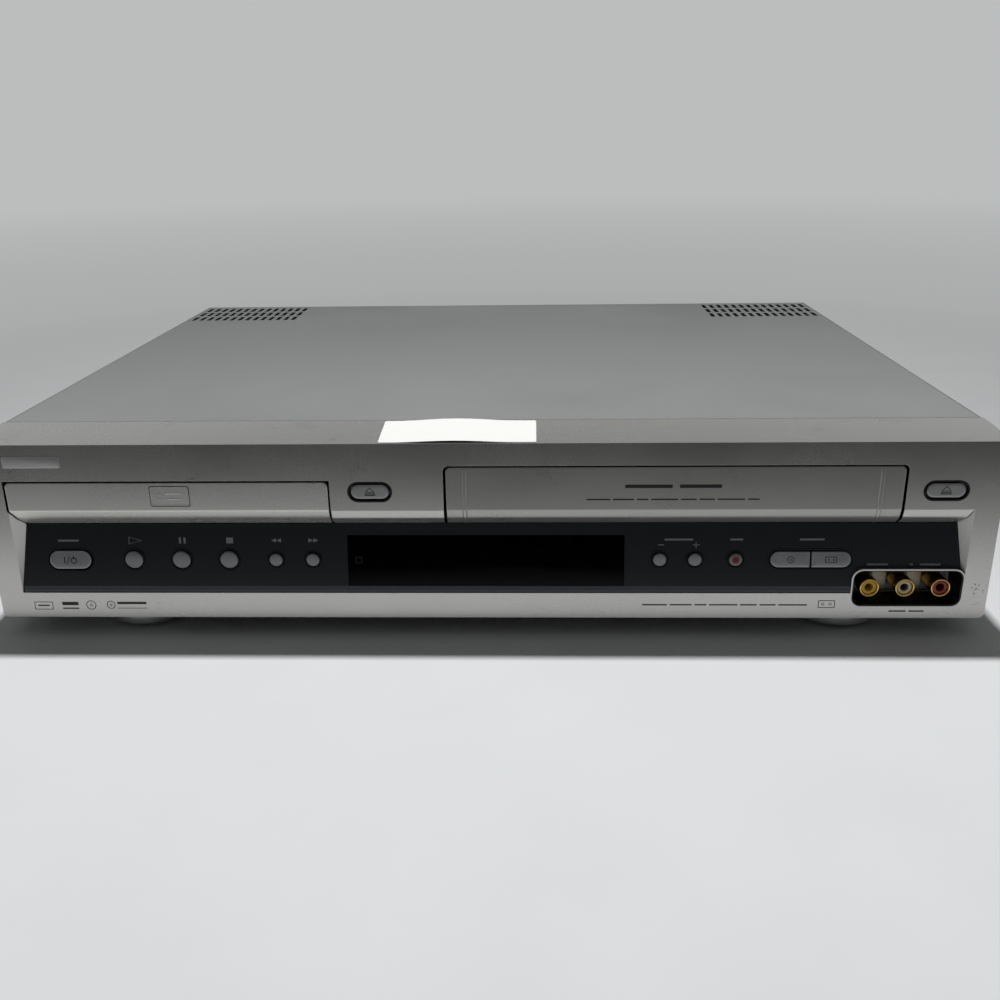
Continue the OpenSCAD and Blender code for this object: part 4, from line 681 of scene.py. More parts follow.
class Paint(Enum):
    """The finishes of this deck."""

    COVER = SILVER_PAINT.variant(
        "cover_silver_paint", (146, 146, 146), metallic=0.78, roughness=0.2, flake=0.07,
        grain_size=0.28, relief=0.012, mottle_size=90, wear=0.2, dust=0.25, dust_size=1.6,
        grime=0.0,
    )
    BEZEL = SILVER_PAINT.variant(
        "bezel_silver_paint", (193, 191, 188), metallic=0.86, roughness=0.26, mottle_size=60,
        soft_edge=0.25, wear=0.35, scuff=0.7,
    )
    DOOR = SILVER_PAINT.variant("door_silver_paint", (212, 210, 205))
    CASSETTE_DOOR = SILVER_PAINT.variant(
        "cassette_door_paint", (174, 172, 169), metallic=0.8, roughness=0.3, dust=0.12, scuff=0.4
    )
    PANEL = SMOKE.variant(
        "panel_smoke", (34, 38, 45), soft_edge=0.15, wear=0.2, dust=0.1, grime=0.9
    )
    # The panel's smoke made lighter on the lip: a painted highlight where the strip faces the
    # light.
    LIP_PAINTED_HIGHLIGHT = SMOKE.variant("panel_lip_smoke", (68, 72, 80), roughness=0.34, coat=0.1)
    WINDOW = Finish(
        "window_gloss_black", (1, 1, 1), roughness=0.08, specular=0.1, grain_size=3.0, relief=0.001,
        mottle=0.1, dust=0.04, dust_size=0.7,
    )
    # Near black seats: painted shade for the holes round the buttons.
    SEAT_SHADE = Finish(
        "button_seat_black", (6, 6, 8), roughness=0.42, specular=0.3, grain_size=0.4, relief=0.002,
        dust=0.04,
    )
    BUTTON = BUTTON_PAINT.variant("button_grey_paint", (156, 156, 159))
    ROUND_BUTTON = BUTTON_PAINT.variant(
        "round_button_paint", (130, 130, 133), metallic=0.6, roughness=0.46, flake=0.14,
        grain_size=0.25, relief=0.006, mottle=0.06, dust=0.1, grime=0.9, grime_reach=1.8,
    )
    RECORD = BUTTON_PAINT.variant(
        "record_button_paint", (116, 110, 113), metallic=0.5, dust=0.05, dust_size=1.1,
        second=(96, 18, 34), second_radius=1.5,
    )
    EJECT = BUTTON_PAINT.variant(
        "eject_button_silver", (168, 168, 168), roughness=0.34, flake=0.04, relief=0.003,
        mottle=0.03, mottle_size=6,
    )
    # Near black for the sheets that stand for the shade deep in gaps: door openings, panel edges
    # and eject rings.
    GAP_SHADE_SHEET = Finish(
        "eject_seat_dark", (7, 7, 7), roughness=0.42, grain_size=0.3, relief=0.003, dust=0.05
    )
    PRINT = INK.variant("panel_print_grey", (128, 130, 134))
    DARK_PRINT = INK.variant("dark_print", (19, 19, 20))
    # Dark line round the badge's emboss: painted shade.
    BADGE_SHADE_LINE = Finish(
        "badge_line_shade", (30, 29, 28), metallic=0.1, roughness=0.5, grain_size=0.3, relief=0.003,
        dust=0.05,
    )
    BADGE = Finish(
        "badge_plate_chrome", (204, 204, 202), metallic=0.85, roughness=0.34, flake=0.02,
        grain_size=0.3, grain=Grain.ACROSS, relief=0.003, mottle=0.04, dust=0.1,
    )
    CUP = Finish(
        "cup_black", (13, 12, 11), roughness=0.36, coat=0.1, grain_size=0.8, relief=0.003,
        dust=0.08, dust_size=0.6,
    )
    TIN = Finish(
        "tinned_plate", (150, 145, 132), metallic=0.9, roughness=0.42, grain_size=0.6, relief=0.02,
        mottle=0.2, mottle_size=4, grime=0.8, grime_reach=5.0,
    )
    GOLD = Finish(
        "shell_gold_plating", (226, 184, 98), metallic=1.0, roughness=0.2, grain_size=0.4,
        relief=0.003, mottle=0.08, mottle_size=3, dust=0.08, dust_size=0.5,
    )
    YELLOW = INSERT.variant("insert_yellow", (200, 158, 30))
    IVORY = INSERT.variant("insert_ivory", (216, 203, 172))
    RED = INSERT.variant("insert_red", (52, 6, 12), roughness=0.5, specular=0.3)
    FOOT = Finish(
        "foot_silver_grey", (182, 182, 183), metallic=0.8, roughness=0.34, flake=0.03,
        grain=Grain.ACROSS, grain_size=0.4, relief=0.008, mottle=0.1, mottle_size=9, dust=0.25,
        dust_size=0.9, soft_edge=0.2, wear=0.3,
    )
    PAD = RUBBER.variant(
        "foot_pad_rubber", (30, 30, 31), roughness=0.8, grain_size=0.5, relief=0.03, mottle=0.1,
        dust=0.4,
    )
    PAPER = Finish(
        "label_paper", (184, 185, 186), roughness=0.75, grain_size=0.25, relief=0.012,
        mottle=0.015, mottle_size=12, dust=0.0, specular=0.3,
    )
    CHASSIS = STEEL.variant(
        "chassis_zinc", (176, 178, 178), metallic=0.9, roughness=0.38, flake=0.08, grain_size=3.5,
        mottle=0.1, mottle_size=14, dust=0.2,
    )
    REAR = STEEL.variant(
        "rear_panel_steel", (162, 163, 162), metallic=0.85, roughness=0.4, flake=0.05,
        grain_size=0.35, mottle=0.06, mottle_size=30, wear=0.3, dust=0.2,
    )
    SCREW = Finish(
        "screw_black_oxide", (40, 40, 42), metallic=0.8, roughness=0.35, grain_size=0.3,
        relief=0.006, soft_edge=0.15, wear=0.6,
    )
    BUSH = PLASTIC.variant(
        "bush_black_nylon", (26, 26, 27), roughness=0.55, grain_size=0.5, relief=0.012,
        soft_edge=0.3, wear=0.15,
    )
    BLOCK = PLASTIC.variant("socket_block_black", (32, 33, 36), grain_size=0.6, wear=0.15)
    TUNER = STEEL.variant(
        "tuner_tinplate", (186, 188, 190), metallic=1.0, roughness=0.26, flake=0.04, grain_size=2.0,
        relief=0.01, mottle=0.08, mottle_size=10,
    )
    BOARD = Finish(
        "board_green", (38, 86, 56), roughness=0.4, coat=0.4, grain_size=1.6, relief=0.03,
        flake=0.12, mottle=0.12, mottle_size=6, dust=0.5, dust_size=2.2,
    )
    POWER = Finish(
        "power_parts_lacquer", (70, 68, 64), metallic=0.3, roughness=0.45, grain_size=0.8,
        relief=0.04, flake=0.1, mottle=0.25, mottle_size=9, soft_edge=0.3, wear=0.3,
    )
    TUBE = Finish(
        "tube_glass", (62, 92, 88), roughness=0.12, coat=0.6, grain_size=2.0, relief=0.004,
        mottle=0.3, mottle_size=5,
    )
    LOADER = PLASTIC.variant(
        "loader_black_plastic", (40, 41, 45), roughness=0.5, grain_size=0.5, relief=0.015,
        soft_edge=0.3,
    )
    TRAY = PLASTIC.variant(
        "tray_dark_plastic", (46, 47, 51), roughness=0.42, grain_size=0.35, wear=0.25,
        soft_edge=0.25,
    )
    MOTOR = POLISHED.variant(
        "motor_can_steel", (172, 174, 176), roughness=0.28, grain=Grain.ACROSS, grain_size=0.3,
        relief=0.006,
    )
    BRASS = POLISHED.variant(
        "pulley_brass", (206, 176, 104), roughness=0.26, grain_size=0.25, relief=0.004,
        soft_edge=0.15, wear=0.3,
    )
    BELT = RUBBER.variant("belt_rubber", (24, 24, 25))
    GEAR = PLASTIC.variant(
        "gear_white_nylon", (226, 222, 210), relief=0.006, soft_edge=0.12, wear=0.1
    )
    BRIDGE = STEEL.variant("bridge_zinc", (182, 184, 185), flake=0.08, grain_size=3.0)
    CLAMPER = PLASTIC.variant("clamper_grey_plastic", (62, 64, 70), soft_edge=0.25)
    TRAVERSE = STEEL.variant(
        "traverse_steel", (150, 152, 154), metallic=0.9, roughness=0.36, relief=0.008, wear=0.3
    )
    TURNTABLE = PLASTIC.variant(
        "turntable_graphite", (84, 86, 90), roughness=0.4, relief=0.008, wear=0.25
    )
    SLED = STEEL.variant(
        "sled_cast_metal", (136, 139, 143), metallic=0.8, roughness=0.42, grain_size=0.6,
        relief=0.02, soft_edge=0.25, wear=0.3,
    )
    LEAD = POLISHED.variant(
        "screw_ground_steel", (204, 206, 208), roughness=0.18, grain=Grain.BACKWARDS
    )
    DECK = STEEL.variant(
        "deck_zinc", (184, 185, 183), flake=0.1, grain_size=4.0, mottle=0.1, mottle_size=12
    )
    HOLDER = STEEL.variant(
        "holder_zinc", (164, 167, 169), roughness=0.36, flake=0.06, grain=Grain.BACKWARDS, wear=0.25
    )
    DRUM = POLISHED.variant(
        "drum_turned_aluminium", (216, 218, 219), grain=Grain.ACROSS, grain_size=0.18,
        soft_edge=0.2, wear=0.2, dust=0.04,
    )
    CAPSTAN = POLISHED.variant(
        "capstan_steel", (206, 207, 205), relief=0.002, soft_edge=0.1
    )
    ROLLER = RUBBER.variant("roller_rubber", (38, 38, 39), roughness=0.7, relief=0.015)
    REEL = PLASTIC.variant(
        "reel_white_plastic", (224, 220, 210), roughness=0.42, relief=0.008, wear=0.1
    )


# ---- Sub-assemblies ----


@dataclass
class SubAssembly:
    """A group of pieces that belong together: dresses CAD nodes and adds its own pieces."""

    deck: Deck
    nodes: dict[str, bpy.types.Object]
    recess: Recess = field(default_factory=Recess)

    def dress_all(self, paints: dict[str, Paint]) -> None:
        """Gives several CAD nodes their finishes."""
        for node, paint in paints.items():
            self.dress(node, paint)

    def dress(self, node: str, paint: Paint) -> None:
        """Gives a CAD node its finish.

        Args:
            node: The node's name.
            paint: Its finish.
        """
        mesh = self.nodes[node].data
        if mesh.materials:
            for index in range(len(mesh.materials)):
                mesh.materials[index] = paint.value.material()
        else:
            mesh.materials.append(paint.value.material())
        LOG.info("%s: node in %s", node, paint.value.name)

    def put(
        self, piece: bpy.types.Object, paint: Paint, body: str, slot: str, *replaced: str,
        spot: Pair = (0.0, 0.0),
    ) -> bpy.types.Object:
        """Finishes a new piece and makes it ride on its body.

        Args:
            piece: The new object.
            paint: Its finish.
            body: The CAD body that it rides on.
            slot: Not used.
            replaced: The CAD nodes that it stands for.
            spot: Middle of the finish's second colour, in metres.

        Returns:
            The piece.
        """
        piece.data.materials.clear()
        piece.data.materials.append(paint.value.material(spot))
        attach(piece, body)
        if replaced:
            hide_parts(*replaced)
        count = len(piece.data.polygons)
        LOG.info("%s: %d faces in %s, on %s", piece.name, count, paint.value.name, body)
        return piece

    def shape(self) -> Shape:
        """Starts a shape in the case's coordinates."""
        return Shape(self.deck)


HINGE_PIN_REACH = 2.4
SOFT = ((0.0, -0.30), (0.03, -0.16), (0.09, -0.07), (0.18, -0.02), (0.3, 0.0))


def plate(thickness: float, edge: float = 0.3, top: float = 0.0) -> list[tuple[float, float]]:
    """Levels of a flat plate whose front edge is a quarter round.

    Args:
        thickness: How deep the plate goes.
        edge: The quarter round's radius.
        top: Height of its front face.

    Returns:
        Levels of (inset, height), from its back to its front.
    """
    size = edge / SOFT[-1][0]
    return [(0.0, top - thickness), *((inset * size, top + drop * size) for inset, drop in SOFT)]


def rod(length: float, edge: float) -> list[tuple[float, float]]:
    """Levels of a rod whose two ends are chamfered: (inset, height) along its length."""
    return [(edge, 0.0), (0.0, edge), (0.0, length - edge), (edge, length)]


def box_levels(low: float, high: float) -> list[tuple[float, float]]:
    """Levels of a straight body with sharp ends: its lower and its upper height."""
    return [(0.0, low), (0.0, high)]


@dataclass
class Cabinet(SubAssembly):
    """The case: bezel, cover, chassis, rear panel, screws, feet and the blank label.

    brow_lap is how far the brow lies behind the recess's own, and brow_thickness that of its sheet.
    foot_levels are the (inset, depth) points of a foot's turned section, from the case down. sheet
    is the CAD label's thickness, paper the drawn one's, and paper_lift its height over the slope.
    bow is the label's rise at its front and rear edge; bow_span is the bow's middle and half width,
    as shares of the label's width.
    """

    edge: float = 0.4
    brow_lap: float = 0.02
    brow_thickness: float = 2.2
    foot_radius: float = 20.0
    foot_levels: Levels = (
        (0.0, 0.0), (0.0, 1.4), (0.25, 1.75), (0.8, 1.95), (0.8, 2.65), (0.3, 2.85), (0.05, 3.1),
        (0.0, 3.5), (0.0, 5.9), (0.12, 6.4), (0.5, 6.9), (1.0, 7.35), (2.2, 7.6), (4.6, 7.75),
        (4.8, 7.9),
    )
    pad_inset: float = 5.6
    door_gap: float = 0.45
    pin_reach: float = HINGE_PIN_REACH
    sheet: float = 0.15
    paper: float = 0.09
    paper_lift: float = 0.04
    label_corner: float = 1.0
    bow: Pair = (0.7, 1.0)
    bow_span: Pair = (0.47, 0.42)

    def build(self) -> None:
        """Makes the case's pieces."""
        bezel = softened_copy(self.nodes["front_bezel"], "bezel_moulding", self.edge, 3)
        self.put(bezel, Paint.BEZEL, "chassis", "bezel_silver", "front_bezel")
        self.dress_all({
            "top_cover": Paint.COVER, "bottom_chassis": Paint.CHASSIS, "rear_panel": Paint.REAR,
            "case_screws": Paint.SCREW, "cord_bush": Paint.BUSH,
        })
        self._brows()
        self._feet()
        self._label()

    def _brows(self) -> None:
        """Carries the doors' soft brow across the bezel, between the doors and beside them.

        Each sheet follows the recess's brow depth down from its top, and thickens from its upper
        edge to its full thickness within two millimetres. The last one's right side is cut along
        the recess's mitre.
        """
        tray, tape = self.deck.span("tray_door"), self.deck.span("cassette_door")
        end = self.recess.half_width
        bottom = self.recess.floor_top + 0.15
        even = np.linspace(0.8, self.recess.top - bottom, 24)
        drop = np.concatenate([[0.0, 0.06, 0.15, 0.3, 0.5], even])
        brows = self.shape()
        for left, right, mitre in (
            (tray[1][0] + self.door_gap, tape[0][0] + self.pin_reach - self.door_gap, 0.0),
            (tape[1][0] - self.pin_reach + self.door_gap, end - 0.2, self.recess.side_slant),
        ):
            slant = mitre * drop / (self.recess.top - self.recess.floor_top)
            share = np.linspace(0.0, 1.0, 24)[None, :]
            x = left + share * (right - left - slant[:, None])
            z = np.broadcast_to((self.recess.top - drop)[:, None], x.shape)
            depth = self.recess.brow_depth(z) + self.brow_lap
            thickness = self.brow_thickness * np.clip(drop / 2.0, 0.05, 1)[:, None]
            front = np.stack([x, depth, z], axis=-1)
            back = np.stack([x, depth + thickness, z], axis=-1)
            brows.sheet(front, back)
        self.put(brows.build("recess_brows", 50), Paint.BEZEL, "chassis", "bezel_silver")

    def _feet(self) -> None:
        """Turns the four feet: a grooved ring with a bright band and a soft pad below."""
        low, high = self.deck.span("feet")
        height = high[2] - low[2]
        radius, inset = self.foot_radius, self.pad_inset
        levels = [*self.foot_levels, (inset - 0.7, height - 0.25)]
        pad_levels = [(inset, height - 0.6), (inset, height - 0.1), (inset + 0.2, height)]
        feet = self.shape()
        pads = self.shape()
        for x in (low[0] + radius, high[0] - radius):
            for y in (low[1] + radius, high[1] - radius):
                feet.loft(circle(2 * radius, 128), levels, facing_down(x, y, 0.0))
                pads.loft(circle(2 * radius, 96), pad_levels, facing_down(x, y, 0.0))
        self.put(feet.build("feet_rings"), Paint.FOOT, "chassis", "foot_grey", "feet")
        self.put(pads.build("feet_pads"), Paint.PAD, "chassis", "foot_grey")

    def _label(self) -> None:
        """Lays the blank paper label on the sloped top, bowed up off it near its middle.

        The bow across the label is a squared cosine, and grows evenly from the front to the rear
        edge. Rows near both edges are drawn in by a quarter circle for the round corners.
        """
        low, high = self.deck.span("paper_label")
        width, length = high[0] - low[0], high[1] - low[1]
        corner = self.label_corner
        arc = corner * (1 - np.cos(np.linspace(0, math.pi / 2, 6)))
        even = np.linspace(corner + 0.5, length - corner - 0.5, 20)
        back = np.concatenate([arc, even, length - arc[::-1]])
        into = np.clip(corner - np.minimum(back, length - back), 0, corner)
        cut = (corner - np.sqrt(corner**2 - into**2))[:, None]
        share, back = np.meshgrid(np.linspace(0.0, 1.0, 80), back)
        x = low[0] + cut + share * (width - 2 * cut)
        middle, reach = self.bow_span
        bump = np.cos(math.pi / 2 * np.clip((share - middle) / reach, -1, 1)) ** 2
        front_rise, rear_rise = self.bow
        rise = front_rise + (rear_rise - front_rise) * back / length
        slope = (high[2] - low[2] - self.sheet) / length
        z = low[2] + slope * back + self.paper_lift + rise * bump
        y = low[1] + back
        top = np.stack([x, y, z + self.paper], axis=-1)
        under = np.stack([x, y, z], axis=-1)
        label = self.shape().sheet(top, under).build("blank_label")
        self.put(label, Paint.PAPER, "chassis", "label_paper", "paper_label")


RIM_STEPS = np.array([0.0, 0.03, 0.12, 0.3, 0.6, 1.0])


@dataclass(frozen=True)
class DoorPlan:
    """A bent door: sides, upper edge, corner radius, thickness and the rounding of its edges.

    foot_gap is the room between the door's foot and the panel. gap is the room that the opening
    leaves around the door, and wall the thickness of the dark sheet along the opening, which is
    painted shade for the deep gap; wall_start are the depths at which that sheet begins, and
    wall_end is how far it goes on behind the door.
    """

    left: float
    right: float
    top: float
    mitred: bool = False
    corner: float = 2.0
    thickness: float = 2.4
    edge: float = 0.35
    foot_gap: float = 0.2
    gap: float = 0.33
    wall: float = 0.2
    wall_start: Pair = (0.15, 0.3)
    wall_end: float = 0.8

    def opening(self, recess: Recess) -> tuple[Array, Array]:
        """Works out the dark wall along the opening, up one side, over the top and down the other.

        The path keeps a constant gap off the door's sides, top and quarter round corners. The wall
        starts a little behind the front and follows the recess's brow. Its darkness is painted
        shade for the deep gap round the door.

        Args:
            recess: The recess that the opening's foot follows.

        Returns:
            The grids of the wall's side towards the door and of its far side.
        """
        turn = np.linspace(0, math.pi / 2, 10)
        straight = np.linspace(recess.floor_top + 0.3, self.top - self.corner, 40)
        side = self.left_side(straight, recess)
        grids = []
        for gap in (self.gap, self.gap + self.wall):
            radius = self.corner + gap
            around, rise = radius * np.cos(turn), self.top - self.corner + radius * np.sin(turn)
            x = np.concatenate([
                side - gap, self.left + self.corner - around,
                self.right - self.corner + around[::-1], np.full_like(side, self.right + gap),
            ])
            z = np.concatenate([straight, rise, rise[::-1], straight[::-1]])[:, None]
            steps = np.array([[*self.wall_start, self.thickness + self.wall_end]])
            depth = recess.brow_depth(z) + steps
            grids.append(np.stack(np.broadcast_arrays(x[:, None], depth, z), axis=-1))
        return grids[0], grids[1]

    def inset(self, sides: float, above: float) -> DoorPlan:
        """Gives the same door drawn in from its sides and its top, for a wider line around it."""
        return replace(self, left=self.left + sides, right=self.right - sides, top=self.top - above)

    def left_side(self, z: Array, recess: Recess) -> Array:
        """Gives the left side at each height: upright, or cut along the recess's mitre below."""
        if not self.mitred:
            return np.full_like(z, self.left)
        start = recess.top - 0.3
        share = np.clip((start - z) / (start - recess.floor_top), 0, 1)
        return self.left + share * (recess.side_slant + 0.3)

    def _rows(self, recess: Recess) -> Array:
        """Gives the grid's heights from the top down, close together where the front bends."""
        rim = self.edge * RIM_STEPS
        bottom = recess.floor_top + self.foot_gap
        arc = self.top - self.corner * (1 - np.sin(np.linspace(0, math.pi / 2, 9)))
        bend = recess.top + np.linspace(-1.2, 1.2, 13)
        upper = self.top - np.linspace(1.0, 2.6, 17)
        even = np.linspace(bottom, self.top, 24)
        rows = np.unique(np.concatenate([self.top - rim, bottom + rim, arc, bend, upper, even]))
        return rows[::-1, None]

    def surface(
        self, recess: Recess, relief: Callable[[Array, Array], Array], extra: Sequence[float]
    ) -> tuple[Array, Array]:
        """Works out the door's front and back.

        The section is upright above the recess and follows its brow below. Each upper corner takes
        the quarter circle's inset off the sides, and within the edge's radius of a border the front
        turns back along a quarter round.

        Args:
            recess: The recess that the door's foot follows.
            relief: Depth of the front's ribs and steps as a function of width and height.
            extra: Places across where the grid is fine.

        Returns:
            The front's and the back's grids of points.
        """
        rim = self.edge * RIM_STEPS
        z = self._rows(recess)
        fine = [x + np.linspace(-1.5, 1.5, 31) for x in extra]
        inner = np.unique(np.concatenate([np.linspace(self.left + 1, self.right - 1, 70), *fine]))
        share = (inner - self.left - self.edge) / (self.right - self.left - 2 * self.edge)
        into_corner = np.clip(z - (self.top - self.corner), 0, self.corner)
        cut = self.corner - np.sqrt(self.corner**2 - into_corner**2)
        left = self.left_side(z, recess) + cut
        right = self.right - cut
        between = left + self.edge + (right - left - 2 * self.edge) * share[None, :]
        x = np.concatenate([left + rim, between, right - rim[::-1]], axis=1)
        z = np.broadcast_to(z, x.shape)
        above_foot = z - recess.floor_top - self.foot_gap
        border = np.minimum(np.minimum(x - left, right - x), np.minimum(self.top - z, above_foot))
        inside = self.edge - np.clip(border, 0, self.edge)
        turned = self.edge - np.sqrt(self.edge**2 - inside**2)
        path = recess.brow_depth(z)
        front = np.stack([x, path + turned + relief(x, z), z], axis=-1)
        back = np.stack([x, path + self.thickness, z], axis=-1)
        return front, back


@dataclass
class DiscDrive(SubAssembly):
    """The disc tray with its door, and the loader, traverse and clamper behind it.

    badge_frame is the section of a raised line, in points of inset and height, and the next field
    the width of the dark line around it, a painted shade at the emboss's edge. line is how far the
    door is drawn in from its plan. brow is the first slope of the tray door's foot, which is bent
    more than the recess beside it.
    """

    badge_middle: Pair = (-133.4, 56.9)
    badge_size: Pair = (16.4, 8.6)
    badge_frame: Levels = (
        (0.0, -0.1), (0.0, 0.1), (0.1, 0.2), (0.32, 0.2), (0.42, 0.1), (0.42, -0.1),
    )
    shade_line_width: float = 0.34
    line: float = 0.42
    brow: float = 0.44

    def build(self) -> None:
        """Makes the tray's door and badge, and dresses the drive."""
        low, high = self.deck.span("tray_door")
        plan = DoorPlan(low[0], high[0], high[2], mitred=True)
        recess = replace(self.recess, brow=self.brow)
        # A dark sheet in the gap round the door: painted shade.
        shade_walls = self.shape().sheet(*plan.opening(recess)).build("tray_opening_wall", 40)
        self.put(shade_walls, Paint.GAP_SHADE_SHEET, "chassis", "window_black")
        drawn = plan.inset(self.line, self.line)
        front, back = drawn.surface(recess, lambda x, z: np.zeros_like(x), ())
        door = self.shape().sheet(front, back).build("tray_door_skin", 50)
        self.put(door, Paint.DOOR, "tray", "door_silver", "tray_door")
        self._badge()
        tray = softened_copy(self.nodes["disc_tray"], "tray_moulding", 0.25, 2)
        self.put(tray, Paint.TRAY, "tray", "tray_grey", "disc_tray")
        self.dress_all({
            "loader_frame": Paint.LOADER, "loader_motor": Paint.MOTOR,
            "loader_motor_pulley": Paint.BRASS, "loader_belt": Paint.BELT,
            "loader_belt_gear": Paint.GEAR, "loader_drive_gear": Paint.GEAR,
            "clamp_bridge": Paint.BRIDGE, "disc_clamper": Paint.CLAMPER,
            "traverse": Paint.TRAVERSE, "turntable": Paint.TURNTABLE,
            "pickup_sled": Paint.SLED, "lead_screw": Paint.LEAD,
        })

    def _badge(self) -> None:
        """Embosses a plain badge on the tray's door, a frame, a ring and two bars, lined by painted
        shade.
        """
        x, z = self.badge_middle
        width, height = self.badge_size
        place = facing_front(x, 0.0, z)
        badge = self.shape()
        badge.ring(round_rect(width, height, 0.8), self.badge_frame, place)
        badge.ring(circle(3.0, 48), self.badge_frame, facing_front(x - 4.4, 0.0, z))
        for rise, length in ((1.4, 7.4), (-1.2, 6.0)):
            bar = facing_front(x + 1.6, 0.0, z + rise)
            badge.loft(stadium(length, 0.7), [(0.0, -0.1), (0.0, 0.08), (0.15, 0.16)], bar)
        self.put(badge.build("tray_badge"), Paint.DOOR, "tray", "door_silver")
        # The dark line round the badge is painted shade.
        shade_lines = self.shape()
        shade_line_width = self.shade_line_width
        section = ((0.0, -0.1), (0.0, 0.03), (shade_line_width, 0.03), (shade_line_width, -0.1))
        shade_lines.ring(round_rect(width + 2 * shade_line_width, height + 2 * shade_line_width, 1.0), section, place)
        self.put(shade_lines.build("tray_badge_line"), Paint.BADGE_SHADE_LINE, "tray", "door_silver")


@dataclass
class TapeDeck(SubAssembly):
    """The cassette door on its hinge, and the holder, drum, reels and capstan behind it.

    ribs are the two ribs' places across. A hinge arm meets the door at the depth arm_front, and
    arm_foot says how far below the hinge it meets it and ends. A pin reaches out of the door's
    side by pin_reach, and into it by pin_inner. side_line and top_line are how far the door is
    drawn in from its plan.
    """

    ribs: Pair = (-8.2, 164.7)
    rib_top: float = 67.7
    rib_rise: float = 0.35
    rib_width: float = 1.8
    rib_side: float = 0.28
    step_depth: float = 0.3
    arm_width: float = 2.5
    arm_margin: float = 0.5
    arm_front: float = 2.3
    arm_foot: Pair = (5.0, 13.0)
    hinge_depth: float = 4.2
    hinge_rise: float = 3.4
    pin_radius: float = 1.0
    pin_reach: float = HINGE_PIN_REACH
    pin_inner: float = 1.0
    arm_radius: float = 1.3
    side_line: float = 0.7
    top_line: float = 0.35

    def build(self) -> None:
        """Makes the cassette door and dresses the deck."""
        self._door()
        holder = softened_copy(self.nodes["cassette_holder"], "holder_pressing", 0.2, 2)
        self.put(holder, Paint.HOLDER, "holder", "holder_steel", "cassette_holder")
        self.dress_all({
            "tape_deck_plate": Paint.DECK, "holder_brackets": Paint.DECK,
            "holder_carriage": Paint.HOLDER, "lower_drum": Paint.DRUM, "head_drum": Paint.DRUM,
            "capstan": Paint.CAPSTAN, "pinch_arm": Paint.HOLDER, "pinch_roller": Paint.ROLLER,
            "supply_reel": Paint.REEL, "take_up_reel": Paint.REEL,
        })

    def _relief(self, x: Array, z: Array) -> Array:
        """Gives the door's relief as depth: two raised upright ribs, and a step along the top.

        A rib's rise is a clipped slope on each side of its flat crest, down from the step's
        height; the step sinks the strip above that height.
        """
        rise = 0.0
        for middle in self.ribs:
            reach = self.rib_width / 2 - np.abs(x - middle)
            rise = rise + np.clip(reach / self.rib_side, 0, 1)
        below = np.clip((self.rib_top - z) / self.rib_side, 0, 1)
        above = np.clip((z - self.rib_top) / self.rib_side, 0, 1)
        return self.step_depth * above - self.rib_rise * rise * below

    def _door(self) -> None:
        """Builds the bent door with its ribs, its two hinge arms and their pins."""
        low, high = self.deck.span("cassette_door")
        top = high[2] - self.hinge_rise - self.arm_radius
        left = low[0] + self.pin_reach
        right = high[0] - self.pin_reach
        plan = DoorPlan(left, right, top)
        # A dark sheet in the gap round the door: painted shade.
        shade_walls = self.shape().sheet(*plan.opening(self.recess)).build("cassette_opening_wall", 40)
        self.put(shade_walls, Paint.GAP_SHADE_SHEET, "chassis", "window_black")
        drawn = plan.inset(self.side_line, self.top_line)
        door = self.shape().sheet(*drawn.surface(self.recess, self._relief, self.ribs))
        arm, pin = self._hinge_outlines(top + self.hinge_rise)
        inner, margin = self.pin_inner, self.arm_margin
        starts = (
            (left + margin, left - self.pin_reach),
            (right - margin - self.arm_width, right - inner),
        )
        for arm_start, pin_start in starts:
            door.loft(arm, rod(self.arm_width, 0.15), across(arm_start))
            door.loft(pin, rod(self.pin_reach + inner, 0.1), across(pin_start))
        piece = door.build("cassette_door_skin", 50)
        self.put(piece, Paint.CASSETTE_DOOR, "cassette_door", "door_silver", "cassette_door")

    def _hinge_outlines(self, hinge_z: float) -> tuple[Outline, Outline]:
        """Draws a hinge arm and its pin: the arm has a half-round head, and meets the door below.

        Args:
            hinge_z: The hinge line's height.

        Returns:
            The arm's and the pin's outline, in depth and height.
        """
        depth, radius = self.hinge_depth, self.arm_radius
        meets, ends = (hinge_z - drop for drop in self.arm_foot)
        half = np.linspace(0, math.pi, 13)
        head = [(depth + radius * math.cos(a), hinge_z + radius * math.sin(a)) for a in half]
        foot = [
            (depth - radius, meets + 2.0), (self.arm_front, meets), (self.arm_front, ends),
            (depth + radius, ends),
        ]
        whole = np.linspace(0, 2 * math.pi, 25)[:-1]
        pin = self.pin_radius * np.stack([np.cos(whole), np.sin(whole)], axis=1) + [depth, hinge_z]
        return polygon(head + foot), polygon(pin)


class Sign(Enum):
    """The plain signs printed beside and on the controls, drawn about one unit wide and high."""

    PLAY = "play"
    PAUSE = "pause"
    STOP = "stop"
    REWIND = "rewind"
    FORWARD = "forward"
    MINUS = "minus"
    PLUS = "plus"
    DOT = "dot"
    BAR = "bar"
    EJECT = "eject"
    STANDBY = "standby"
    DISC = "disc"
    CASSETTE = "cassette"
    FRAME = "frame"
    WORDS = "words"


@dataclass(frozen=True)
class Mark:
    """One printed sign: what it is, its middle across and up, and its width and height."""

    sign: Sign
    x: float
    z: float
    width: float
    height: float


